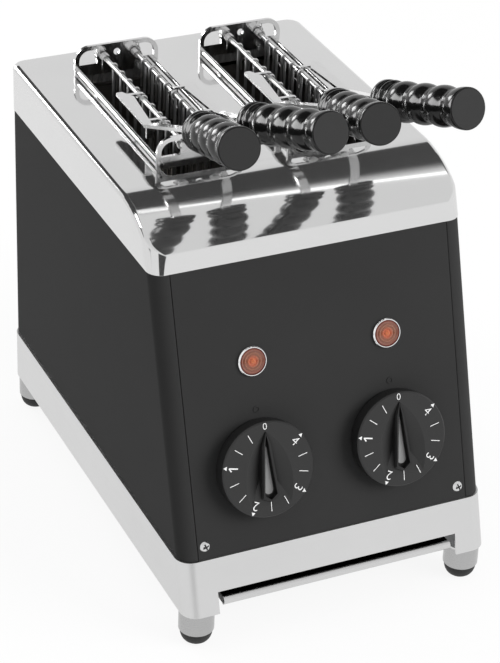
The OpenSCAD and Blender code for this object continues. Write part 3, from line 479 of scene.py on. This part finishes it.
@dataclass
class ScrewCross:
    """Dark sheet of painted shade at the bottom of the cross in the head of a front screw, in millimetres."""

    side: Side
    width: float = 0.88
    share: float = 0.59
    depth: float = 0.3
    dish: float = 0.08
    clear: float = 0.02
    turn_deg: float = 20.0

    def build(self) -> bpy.types.Object:
        """Makes the dark cross of painted shade just under the top of the head.

        Returns:
            The cross.
        """
        half, arm = self.width / 2, self.share * SIZES.screw_r
        outline = [(arm, half), (half, half), (half, arm), (-half, arm), (-half, half), (-arm, half), (-arm, -half),
                   (-half, -half), (-half, -arm), (half, -arm), (half, -half), (arm, -half)]
        low = [(x, y, SIZES.head_h / 2 + self.clear) for x, y in outline]
        high = [(x, y, SIZES.head_h - self.depth - self.dish * math.hypot(x, y)) for x, y in outline]
        n = len(outline)
        sides = [(i, (i + 1) % n, n + (i + 1) % n, n + i) for i in range(n)]
        place = SIZES.panel(self.side.value * SIZES.screw_x, SIZES.screw_s, 0.0)
        place = place @ Matrix.Rotation(math.radians(self.turn_deg), 4, "Z")
        mesh = new_mesh(f"screw_cross_{self.side.word}", low + high, [tuple(range(n, 2 * n)), *sides], place)
        return add_piece(mesh, "housing", "knob_cap", RECESS)


@dataclass
class Housing(SubAssembly):
    """Base, panels and cover with all that they hold; its folded sheets get small round edges."""

    folded: tuple[str, ...] = ("base_pan", "side_panel_left", "side_panel_right", "top_cover")
    weld_mm: float = 0.002
    edge_mm: float = 0.5
    edge_steps: int = 2
    edge_deg: float = 40.0
    sharp_deg: float = 30.0
    flat_weight: int = 80

    def finishes(self) -> dict[str, Finish]:
        """Finish of each of its CAD nodes."""
        return {
            "base_pan": BRUSHED, "top_cover": POLISHED, "front_panel": ENAMEL, "rear_panel": ENAMEL,
            "side_panel_left": ENAMEL, "side_panel_right": ENAMEL, "foot_sleeves": SLEEVE, "foot_pads": RUBBER,
            "foot_bolts": ZINC, "tray_rails": ZINC, "rear_screws": ZINC, "front_screws": WIRE, "timer_nuts": ZINC,
            "timer_left": CASE, "timer_right": CASE, "lamp_bezels": CHROME, "lamp_lenses": AMBER,
            "lamp_bodies": NYLON, "cable_gland": NYLON, "terminal_block": CERAMIC, "wiring_loom": JACKET,
            "box_front_plate": REFLECTOR, "box_rear_plate": REFLECTOR, "side_reflectors": REFLECTOR,
            "centre_divider": REFLECTOR, "heater_tubes": QUARTZ, "heater_bushes": CERAMIC,
            "guard_wires_left": WIRE, "guard_wires_right": WIRE,
        }

    def add_pieces(self) -> None:
        """Rounds the sheets' edges and puts the dark crosses of painted shade into the front screws."""
        smooth = self.smooth_group()
        for name in self.folded:
            self.soften(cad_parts[name], smooth)
        for side in Side:
            ScrewCross(side).build()

    def smooth_group(self) -> bpy.types.GeometryNodeTree:
        """Node group that shades faces smooth and keeps steep edges sharp.

        Returns:
            The group.
        """
        tree = bpy.data.node_groups.new("smooth_by_angle", "GeometryNodeTree")
        tree.interface.new_socket("Geometry", in_out="INPUT", socket_type="NodeSocketGeometry")
        tree.interface.new_socket("Geometry", in_out="OUTPUT", socket_type="NodeSocketGeometry")
        source = add_node(tree, "NodeGroupInput").outputs[0]
        angle = add_node(tree, "GeometryNodeInputMeshEdgeAngle").outputs["Unsigned Angle"]
        sharp = add_node(tree, "FunctionNodeCompare", {"data_type": "FLOAT", "operation": "GREATER_THAN"},
                         {0: angle, 1: math.radians(self.sharp_deg)}).outputs[0]
        faces = add_node(tree, "GeometryNodeSetShadeSmooth", {"domain": "FACE"},
                         {"Geometry": source, "Shade Smooth": True}).outputs[0]
        edges = add_node(tree, "GeometryNodeSetShadeSmooth", {"domain": "EDGE"},
                         {"Geometry": faces, "Selection": sharp, "Shade Smooth": False}).outputs[0]
        add_node(tree, "NodeGroupOutput", None, {0: edges})
        return tree

    def soften(self, obj: bpy.types.Object, smooth: bpy.types.GeometryNodeTree) -> None:
        """Rounds the edges of a sheet and shades its facets as the bends that they stand for.

        Args:
            obj: Object of a CAD node.
            smooth: Node group that shades smooth.
        """
        weld = obj.modifiers.new("weld", "WELD")
        weld.merge_threshold = self.weld_mm * MM
        edge = obj.modifiers.new("edge", "BEVEL")
        edge.width, edge.segments, edge.limit_method = self.edge_mm * MM, self.edge_steps, "ANGLE"
        edge.angle_limit = math.radians(self.edge_deg)
        obj.modifiers.new("smooth", "NODES").node_group = smooth
        weighted = obj.modifiers.new("weighted", "WEIGHTED_NORMAL")
        weighted.keep_sharp, weighted.weight = True, self.flat_weight
        LOG.info("%s has round edges", obj.name)


@dataclass
class CrumbTray(SubAssembly):
    """Tray that slides out below the heaters."""

    def finishes(self) -> dict[str, Finish]:
        """Finish of its CAD node."""
        return {"crumb_tray": TRAY}


@dataclass
class TimerKnob(SubAssembly):
    """Knob of one timer with its printed scale: numbers, ticks and arrowheads.

    Places along the radius are shares of the dial's radius, other sizes are in millimetres.
    """

    side: Side
    marks: int = 12
    marks_per_number: int = 3
    sweep_deg: float = 307.0
    lift: float = 0.05
    digit_mm: float = 8.0
    zero_mm: float = 5.8
    thin: float = 0.06
    smoothness: int = 6
    digit_at: float = 0.775
    zero_at: float = 0.9
    tick_span: Span = (0.68, 0.88)
    tick_w: float = 0.42
    arrow_span: Span = (0.92, 0.995)
    arrow_w: float = 2.5
    one_tall: float = 0.72
    one_wide: float = 0.1
    # Corners of the flag of the 1: places across and drops from the head, in widths of its stroke
    one_flag: tuple[Span, ...] = ((-2.6, 2.0), (-2.0, 2.7), (-0.5, 1.3))

    def finishes(self) -> dict[str, Finish]:
        """Finish of each of its CAD nodes."""
        kinds = {"dial": KNOB, "pointer": CAP, "inlay": FOIL, "shaft": ZINC}
        return {f"{kind}_{self.side.word}": finish for kind, finish in kinds.items()}

    def add_pieces(self) -> None:
        """Prints the scale on the dial's face."""
        for step in range(self.marks + 1):
            turn = math.radians(self.sweep_deg / self.marks * step)
            number, rest = divmod(step, self.marks_per_number)
            if rest:
                self.tick(step, turn)
                continue
            if number == 1:
                self.one(turn)
            else:
                self.digit(number, turn)
            if number:
                self.arrow(turn)

    def spot(self, turn: float, radius: float = 0.0) -> Matrix:
        """Frame on the dial's face with Y pointing outward.

        Args:
            turn: Anticlockwise angle from the top.
            radius: Distance from the middle, as a share of the dial's radius.

        Returns:
            Matrix in metres.
        """
        face = SIZES.panel(self.side.value * SIZES.dial_x, SIZES.dial_s, SIZES.dial_face + self.lift)
        return face @ Matrix.Rotation(turn, 4, "Z") @ Matrix.Translation((0, radius * SIZES.dial_r * MM, 0))

    def name_of(self, mark: str) -> str:
        """Name of the piece for a printed mark."""
        return f"scale_{self.side.word}_{mark}"

    def print_mesh(self, mesh: bpy.types.Mesh) -> None:
        """Puts one printed mark on the knob.

        Args:
            mesh: Its mesh, in place.
        """
        add_piece(mesh, f"knob_{self.side.word}", "inlay_grey", INK)

    def print_flat(self, mark: str, outline: Sequence[Span], place: Matrix) -> None:
        """Prints one flat patch of ink.

        Args:
            mark: Name of the mark.
            outline: Corners in millimetres.
            place: Frame of the patch.
        """
        corners = [(x, y, 0.0) for x, y in outline]
        self.print_mesh(new_mesh(self.name_of(mark), corners, [tuple(range(len(corners)))], place))

    def tick(self, step: int, turn: float) -> None:
        """Prints one mark between the numbers.

        Args:
            step: Number of the mark.
            turn: Its angle.
        """
        half = self.tick_w / 2
        low, high = (share * SIZES.dial_r for share in self.tick_span)
        self.print_flat(f"tick_{step}", [(-half, low), (half, low), (half, high), (-half, high)], self.spot(turn))

    def arrow(self, turn: float) -> None:
        """Prints the small arrowhead beyond a number.

        Args:
            turn: Angle of the number.
        """
        half = self.arrow_w / 2
        low, high = (share * SIZES.dial_r for share in self.arrow_span)
        self.print_flat(f"arrow_{round(math.degrees(turn))}", [(-half, low), (half, low), (0.0, high)],
                        self.spot(turn))

    def one(self, turn: float) -> None:
        """Prints the number 1, drawn with a long flag.

        Args:
            turn: Its angle.
        """
        tall, wide = self.one_tall / 2 * self.digit_mm, self.one_wide * self.digit_mm
        stem = [(-wide / 2, -tall), (wide / 2, -tall), (wide / 2, tall), (-wide / 2, tall)]
        flag = [(x * wide, tall - drop * wide) for x, drop in self.one_flag]
        self.print_flat("number_1", stem + flag, self.spot(turn, self.digit_at))

    def digit(self, number: int, turn: float) -> None:
        """Prints another number in plain type, its head outward.

        Args:
            number: Number to print.
            turn: Its angle.
        """
        curve = bpy.data.curves.new("digit", "FONT")
        curve.body, curve.size = str(number), (self.digit_mm if number else self.zero_mm) * MM
        curve.align_x, curve.align_y = "CENTER", "CENTER"
        curve.resolution_u, curve.offset = self.smoothness, -self.thin * MM
        source = bpy.data.objects.new("digit", curve)
        bpy.context.scene.collection.objects.link(source)
        mesh = bpy.data.meshes.new_from_object(source.evaluated_get(bpy.context.evaluated_depsgraph_get()))
        bpy.data.objects.remove(source)
        mesh.transform(self.spot(turn, self.digit_at if number else self.zero_at))
        mesh.name = self.name_of(f"number_{number}")
        self.print_mesh(mesh)


@dataclass
class TongGrip:
    """Turned grip of one jaw, smooth where the solid is made of cones, in millimetres."""

    side: Side
    jaw: Jaw
    gap: float = 1.5
    bore_r: float = 3.2
    collar: float = 6.0
    shoulder: float = 0.3
    neck: float = 7.0
    neck_steps: int = 10
    bulges: int = 3
    bulge_steps: int = 18
    groove: float = 2.4
    cap: float = 13.0
    cap_rim: float = 3.0
    cap_steps: int = 12
    edge: float = 0.8
    edge_mid: float = 0.25
    sides: int = 64

    def profile(self) -> list[Span]:
        """Radius and height of the outline from base to end.

        Returns:
            Points of the outline.
        """
        r, low, end = SIZES.grip_r, SIZES.grip_r - self.groove, SIZES.grip_len
        start, flare = self.collar + self.neck, end - self.cap
        span = (flare - start) / self.bulges
        points = [(self.bore_r, self.gap), (r - self.edge, self.gap),
                  (r - self.edge_mid, self.gap + self.edge_mid), (r, self.gap + self.edge),
                  (r, self.collar - self.edge), (r - self.shoulder, self.collar - self.shoulder)]
        points += self.bulge(self.collar, self.neck, self.neck_steps)
        for k in range(self.bulges):
            points += self.bulge(start + k * span, span, self.bulge_steps)
        for i in range(1, self.cap_steps + 1):
            share = i / self.cap_steps
            points.append((low + self.groove * math.sin(math.pi / 2 * share),
                           flare + (self.cap - self.cap_rim) * share))
        return points + [(r, end - self.edge), (r - self.edge_mid, end - self.edge_mid), (r - self.edge, end),
                         (0.0, end)]

    def bulge(self, start: float, length: float, steps: int) -> list[Span]:
        """One bulge between two grooves.

        Args:
            start: Height where the bulge begins.
            length: Length of the bulge.
            steps: Number of steps.

        Returns:
            Points of the bulge's outline.
        """
        low = SIZES.grip_r - self.groove
        return [(low + self.groove * math.sin(math.pi * i / steps), start + length * i / steps)
                for i in range(1, steps)]

    def place(self) -> Matrix:
        """Frame of the grip, Z along it.

        Returns:
            Matrix in metres.
        """
        rise, splay = math.radians(SIZES.grip_rise), math.radians(SIZES.grip_splay)
        along = Vector((self.jaw.value * math.sin(splay) * math.cos(rise),
                        -math.cos(splay) * math.cos(rise), math.sin(rise)))
        base = Vector((self.side.value * SIZES.slot_x + self.jaw.value * SIZES.grip_x,
                       SIZES.tong_front - SIZES.grip_reach, SIZES.top_z + SIZES.grip_h))
        return Matrix.Translation(base * MM) @ along.to_track_quat("Z", "Y").to_matrix().to_4x4()

    def build(self) -> bpy.types.Object:
        """Makes the grip in place of its solid.

        Returns:
            The grip.
        """
        *rings, _ = self.profile()
        n, last = self.sides, len(rings) - 1
        turns = [2 * math.pi * k / n for k in range(n)]
        verts = [(radius * math.cos(turn), radius * math.sin(turn), height)
                 for radius, height in rings for turn in turns]
        faces = [(i * n + k, i * n + (k + 1) % n, (i + 1) * n + (k + 1) % n, (i + 1) * n + k)
                 for i in range(last) for k in range(n)]
        ends = (len(faces), len(faces) + 1)
        faces += [tuple(last * n + k for k in range(n)), tuple(reversed(range(n)))]
        node = f"tong_{self.side.word}_grip_{self.jaw.word}"
        mesh = new_mesh(f"{node}_turned", verts, faces, self.place(), smooth=True)
        for index in ends:
            mesh.polygons[index].use_smooth = False
        obj = add_piece(mesh, f"tong_{self.side.word}_jaw_{self.jaw.word}", "grip_black", GRIP, GRIP_END)
        mesh.polygons[ends[0]].material_index = 1
        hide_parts(node)
        return obj


@dataclass
class GrillHooks:
    """Ends of a grill's wires, bent over its hinge rod and down on the inner side, in millimetres."""

    side: Side
    jaw: Jaw
    count: int = 9
    start: float = 15.5
    pitch: float = 12.0
    wire_r: float = 0.7
    leg: float = 16.0
    over_deg: float = 105.0
    steps: int = 8
    sides: int = 8

    def path(self) -> list[tuple[Vector, Vector]]:
        """Middle line of one hook.

        Returns:
            Points from the rod's axis, each with its outward direction.
        """
        bend = SIZES.rod_r + self.wire_r
        found = [(Vector((bend, 0, -self.leg)), Vector((1, 0, 0)))]
        for step in range(self.steps + 1):
            angle = math.radians(self.over_deg * step / self.steps)
            out = Vector((math.cos(angle), 0, math.sin(angle)))
            found.append((bend * out, out))
        return found

    def build(self) -> bpy.types.Object:
        """Makes the hooks of one grill.

        Returns:
            The row of hooks.
        """
        n, path, half_row = self.sides, self.path(), self.pitch * (self.count - 1) / 2
        turns = [2 * math.pi * k / n for k in range(n)]
        verts: list[Vector] = []
        faces: list[tuple[int, ...]] = []
        for hook in range(self.count):
            low, along = len(verts), Vector((0, self.pitch * hook - half_row, 0))
            for point, out in path:
                verts += [point + along + self.wire_r * (math.cos(turn) * out + Vector((0, math.sin(turn), 0)))
                          for turn in turns]
            for ring in range(len(path) - 1):
                a = low + ring * n
                faces += [(a + k, a + (k + 1) % n, a + n + (k + 1) % n, a + n + k) for k in range(n)]
            faces.append(tuple(low + k for k in reversed(range(n))))
            faces.append(tuple(low + (len(path) - 1) * n + k for k in range(n)))
        at = (self.side.value * SIZES.slot_x + self.jaw.value * SIZES.pivot_x,
              SIZES.tong_front + self.start + half_row, SIZES.top_z + SIZES.pivot_h)
        turn = Matrix.Rotation(math.pi if self.jaw is Jaw.B else 0.0, 4, "Z")
        mesh = new_mesh(f"tong_{self.side.word}_hooks_{self.jaw.word}", verts, faces,
                        Matrix.Translation(Vector(at) * MM) @ turn, smooth=True)
        return add_piece(mesh, f"tong_{self.side.word}_jaw_{self.jaw.word}", "bright_wire", GRILL)


@dataclass
class Tong(SubAssembly):
    """Lift-out tong of one slot: its frame, and two jaws with grill, lever, spring and grip."""

    side: Side
    grips: list[bpy.types.Object] = field(default_factory=list)

    def finishes(self) -> dict[str, Finish]:
        """Finish of each of its CAD nodes.

        Returns:
            Finishes by the names of the nodes.
        """
        kinds = {"plates": WIRE, "rails": WIRE}
        for jaw in Jaw:
            kinds.update({f"grill_{jaw.word}": GRILL, f"lever_{jaw.word}": WIRE, f"spring_{jaw.word}": WIRE,
                          f"grip_{jaw.word}": GRIP})
        return {f"tong_{self.side.word}_{kind}": finish for kind, finish in kinds.items()}

    def add_pieces(self) -> None:
        """Turns the grips and bends the hooks of both grills."""
        for jaw in Jaw:
            self.grips.append(TongGrip(self.side, jaw).build())
            GrillHooks(self.side, jaw).build()


@dataclass(frozen=True)
class Softbox:
    """Soft rectangular lamp: places and size in metres, power in watts."""

    name: str
    at: Point
    aim: Point
    size: Span
    power: float
    mirrored: bool = True

    def build(self) -> bpy.types.Object:
        """Makes the lamp.

        Returns:
            The lamp, which polished surfaces show only if it is mirrored.
        """
        data = bpy.data.lights.new(self.name, "AREA")
        data.shape, data.energy = "RECTANGLE", self.power
        data.size, data.size_y = self.size
        obj = bpy.data.objects.new(self.name, data)
        bpy.context.scene.collection.objects.link(obj)
        obj.location = self.at
        obj.rotation_euler = (Vector(self.aim) - Vector(self.at)).to_track_quat("-Z", "Y").to_euler()
        obj.visible_glossy = self.mirrored
        return obj


@dataclass
class Studio:
    """White studio: floor, surround, lamps and the camera of the photograph.

    Lengths are in metres and angles in degrees. A value with "over" in its name is the range of a direction's X, Y or
    Z, or of a distance, over which one tone of the surround passes into the next.
    """

    eye: Point = (-0.56188, -1.18967, 0.91145)
    right: Point = (0.910681, -0.411707, 0.034015)
    up: Point = (0.187274, 0.484826, 0.854326)
    lens: float = 133.66
    sensor: float = 36.0
    far: float = 20.0
    floor_half: float = 2.4
    floor_colour: str = "#f4f4f4"
    floor_white: Span = (0.9, 1.0)
    floor_over: Span = (0.6, 1.5)
    fill: float = 0.38
    ceiling: float = 0.86
    ceiling_over: Span = (0.35, 0.8)
    back_light: float = 0.92
    back_over: Span = (0.3, 0.6)
    gap_light: float = 0.04
    gap_from: Span = (28.0, 36.0)
    gap_from_over: Span = (0.2, 0.3)
    gap_from_edge: float = 0.025
    gap_to: Span = (66.0, 57.0)
    gap_to_over: Span = (0.1, 0.25)
    gap_to_edge: float = 0.075
    gap_rear_over: Span = (0.05, 0.2)
    flags: tuple[Span, ...] = ((-104.0, 15.0), (-164.0, 4.0))
    flag_edge: float = 0.15
    flag_top: Span = (14.0, 18.2)
    softboxes: tuple[Softbox, ...] = (
        Softbox("key_softbox", (-1.2, 0.5, 1.95), (0.0, 0.0, 0.25), (0.5, 0.5), 7.0),
        Softbox("rim_softbox", (-0.68, 1.75, 0.78), (0.0, 0.0, 0.27), (0.55, 0.5), 12.0),
        Softbox("top_softbox", (0.2, 0.2, 2.3), (0.0, 0.0, 0.2), (2.4, 2.4), 16.0, mirrored=False),
        Softbox("front_softbox", (1.9, -1.9, 1.2), (0.0, 0.0, 0.15), (1.8, 1.6), 74.0, mirrored=False),
        Softbox("strip_softbox", (0.86, 0.5, 2.3), (0.0, 0.0, 0.24), (2.8, 0.06), 0.6))
    grip_softbox: Softbox = Softbox("grip_softbox", (-1.08, 0.42, 0.65), (0.0, -0.1, 0.31), (1.05, 0.66), 27.0)

    def build(self) -> None:
        """Makes camera, floor, surround and lamps."""
        self.camera()
        self.floor()
        self.surround()
        for softbox in self.softboxes:
            softbox.build()

    def light_grips(self, grips: Sequence[bpy.types.Object]) -> None:
        """Sets up the broad lamp that only the grips mirror.

        Args:
            grips: The turned grips.
        """
        lit = bpy.data.collections.new("grips_lit")
        for grip in grips:
            lit.objects.link(grip)
        self.grip_softbox.build().light_linking.receiver_collection = lit

    def camera(self) -> None:
        """Makes the camera with the photograph's view, no shift and everything in focus."""
        data = bpy.data.cameras.new("camera")
        data.lens, data.sensor_width, data.sensor_fit = self.lens, self.sensor, "AUTO"
        data.clip_end = self.far
        obj = bpy.data.objects.new("camera", data)
        bpy.context.scene.collection.objects.link(obj)
        back = Vector(self.right).cross(Vector(self.up))
        axes = Matrix((Vector(self.right), Vector(self.up), back)).transposed().to_4x4()
        obj.matrix_world = Matrix.Translation(Vector(self.eye)) @ axes
        bpy.context.scene.camera = obj

    def floor(self) -> None:
        """Makes a wide pale floor that keeps a soft shadow and passes into white away from the toaster."""
        mesh = bpy.data.meshes.new("floor")
        half = self.floor_half
        mesh.from_pydata([(-half, -half, 0), (half, -half, 0), (half, half, 0), (-half, half, 0)], [], [(0, 1, 2, 3)])
        obj = bpy.data.objects.new("floor", mesh)
        bpy.context.scene.collection.objects.link(obj)
        material = bpy.data.materials.new("studio_floor_pale")
        material.use_nodes = True
        tree = material.node_tree
        tree.nodes.clear()
        matt = add_node(tree, "ShaderNodeBsdfDiffuse", None, {"Color": linear(self.floor_colour)})
        glow = add_node(tree, "ShaderNodeEmission", None, {"Color": linear("#ffffff"), "Strength": 1.0})
        path = add_node(tree, "ShaderNodeLightPath").outputs
        shown = path["Is Camera Ray"]
        for ray in ("Is Glossy Ray", "Is Transmission Ray"):
            shown = add_node(tree, "ShaderNodeMath", {"operation": "MAXIMUM"}, {0: shown, 1: path[ray]}).outputs[0]
        coords = add_node(tree, "ShaderNodeTexCoord").outputs["Object"]
        away = add_node(tree, "ShaderNodeVectorMath", {"operation": "LENGTH"}, {0: coords}).outputs["Value"]
        white = add_node(tree, "ShaderNodeMapRange", {"interpolation_type": "SMOOTHSTEP"},
                         dict(enumerate((away, *self.floor_over, *self.floor_white)))).outputs[0]
        share = add_node(tree, "ShaderNodeMath", {"operation": "MULTIPLY"}, {0: shown, 1: white}).outputs[0]
        mixed = add_node(tree, "ShaderNodeMixShader", None, {0: share, 1: matt.outputs[0], 2: glow.outputs[0]})
        add_node(tree, "ShaderNodeOutputMaterial", None, {"Surface": mixed.outputs[0]})
        mesh.materials.append(material)

    def surround(self) -> None:
        """Makes the white surround, which is even as a light and has dark parts for polished metal to mirror."""
        world = bpy.data.worlds.new("studio")
        bpy.context.scene.world = world
        world.use_nodes = True
        tree = world.node_tree
        tree.nodes.clear()
        towards = add_node(tree, "ShaderNodeTexCoord").outputs["Generated"]
        split = add_node(tree, "ShaderNodeSeparateXYZ", None, {"Vector": towards}).outputs
        smooth = {"interpolation_type": "SMOOTHSTEP"}
        mirrored = self.gap(tree, split)
        for axis, over, tone in (("Z", self.ceiling_over, self.ceiling), ("Y", self.back_over, self.back_light)):
            dim = add_node(tree, "ShaderNodeMapRange", smooth,
                           dict(enumerate((split[axis], *over, 1.0, tone)))).outputs[0]
            mirrored = add_node(tree, "ShaderNodeMath", {"operation": "MULTIPLY"}, {0: mirrored, 1: dim}).outputs[0]
        top = (math.sin(math.radians(angle)) for angle in self.flag_top)
        low_down = add_node(tree, "ShaderNodeMapRange", smooth,
                            dict(enumerate((split["Z"], *top, 1.0, 0.0)))).outputs[0]
        for heading, half in self.flags:
            card = self.flag(tree, towards, heading, half, low_down)
            mirrored = add_node(tree, "ShaderNodeMath", {"operation": "MULTIPLY"}, {0: mirrored, 1: card}).outputs[0]
        path = add_node(tree, "ShaderNodeLightPath").outputs
        seen = add_node(tree, "ShaderNodeMath", {"operation": "MAXIMUM"},
                        {0: path["Is Glossy Ray"], 1: path["Is Transmission Ray"]}).outputs[0]
        soft = add_node(tree, "ShaderNodeMix", {"data_type": "FLOAT"},
                        {"Factor": seen, "A": self.fill, "B": mirrored}).outputs[0]
        strength = add_node(tree, "ShaderNodeMix", {"data_type": "FLOAT"},
                            {"Factor": path["Is Camera Ray"], "A": soft, "B": 1.0}).outputs[0]
        glow = add_node(tree, "ShaderNodeBackground", None, {"Color": linear("#ffffff"), "Strength": strength})
        add_node(tree, "ShaderNodeOutputWorld", None, {"Surface": glow.outputs[0]})

    def gap(self, tree: bpy.types.NodeTree, split: bpy.types.NodeOutputs) -> bpy.types.NodeSocket:
        """Dark gap in the surround behind the toaster, between a lower and an upper edge.

        Args:
            tree: Node tree to add to.
            split: Sockets of the ray's direction, by axis.

        Returns:
            Socket that is dark in the gap and 1 elsewhere.
        """
        smooth = {"interpolation_type": "SMOOTHSTEP"}
        inside = add_node(tree, "ShaderNodeMapRange", smooth,
                          dict(enumerate((split["Y"], *self.gap_rear_over, 0.0, 1.0)))).outputs[0]
        edges = ((self.gap_from, self.gap_from_over, self.gap_from_edge, (0.0, 1.0)),
                 (self.gap_to, self.gap_to_over, self.gap_to_edge, (1.0, 0.0)))
        for angles, over, width, tones in edges:
            heights = (math.sin(math.radians(angle)) for angle in angles)
            height = add_node(tree, "ShaderNodeMapRange", smooth,
                              dict(enumerate((split["X"], *over, *heights)))).outputs[0]
            above = add_node(tree, "ShaderNodeMath", {"operation": "SUBTRACT"},
                             {0: split["Z"], 1: height}).outputs[0]
            part = add_node(tree, "ShaderNodeMapRange", smooth,
                            dict(enumerate((above, 0.0, width, *tones)))).outputs[0]
            inside = add_node(tree, "ShaderNodeMath", {"operation": "MULTIPLY"}, {0: inside, 1: part}).outputs[0]
        return add_node(tree, "ShaderNodeMapRange", smooth,
                        dict(enumerate((inside, 0.0, 1.0, 1.0, self.gap_light)))).outputs[0]

    def flag(self, tree: bpy.types.NodeTree, towards: bpy.types.NodeSocket, heading: float, half: float,
             low_down: bpy.types.NodeSocket) -> bpy.types.NodeSocket:
        """Dark upright card at the horizon.

        Args:
            tree: Node tree to add to.
            towards: Direction of the ray.
            heading: Direction of the card, anticlockwise from +X.
            half: Half of its width.
            low_down: Socket that is 1 below the top of the card.

        Returns:
            Socket that is dark on the card and 1 elsewhere.
        """
        smooth, angle = {"interpolation_type": "SMOOTHSTEP"}, math.radians(heading)
        near = add_node(tree, "ShaderNodeVectorMath", {"operation": "DOT_PRODUCT"},
                        {0: towards, 1: (math.cos(angle), math.sin(angle), 0.0)}).outputs["Value"]
        over = (math.cos(math.radians(half * (1 + edge))) for edge in (self.flag_edge, -self.flag_edge))
        across = add_node(tree, "ShaderNodeMapRange", smooth, dict(enumerate((near, *over, 0.0, 1.0)))).outputs[0]
        inside = add_node(tree, "ShaderNodeMath", {"operation": "MULTIPLY"}, {0: across, 1: low_down}).outputs[0]
        return add_node(tree, "ShaderNodeMapRange", smooth,
                        dict(enumerate((inside, 0.0, 1.0, 1.0, self.gap_light)))).outputs[0]


def main() -> None:
    """Builds the studio and the sub-assemblies in order."""
    logging.basicConfig(level=logging.INFO)
    bpy.context.scene.view_settings.view_transform = "Standard"
    studio = Studio()
    studio.build()
    tongs = [Tong(side) for side in Side]
    for assembly in (Housing(), CrumbTray(), *map(TimerKnob, Side), *tongs):
        assembly.build()
    studio.light_grips([grip for tong in tongs for grip in tong.grips])


if __name__ == "__main__":
    main()
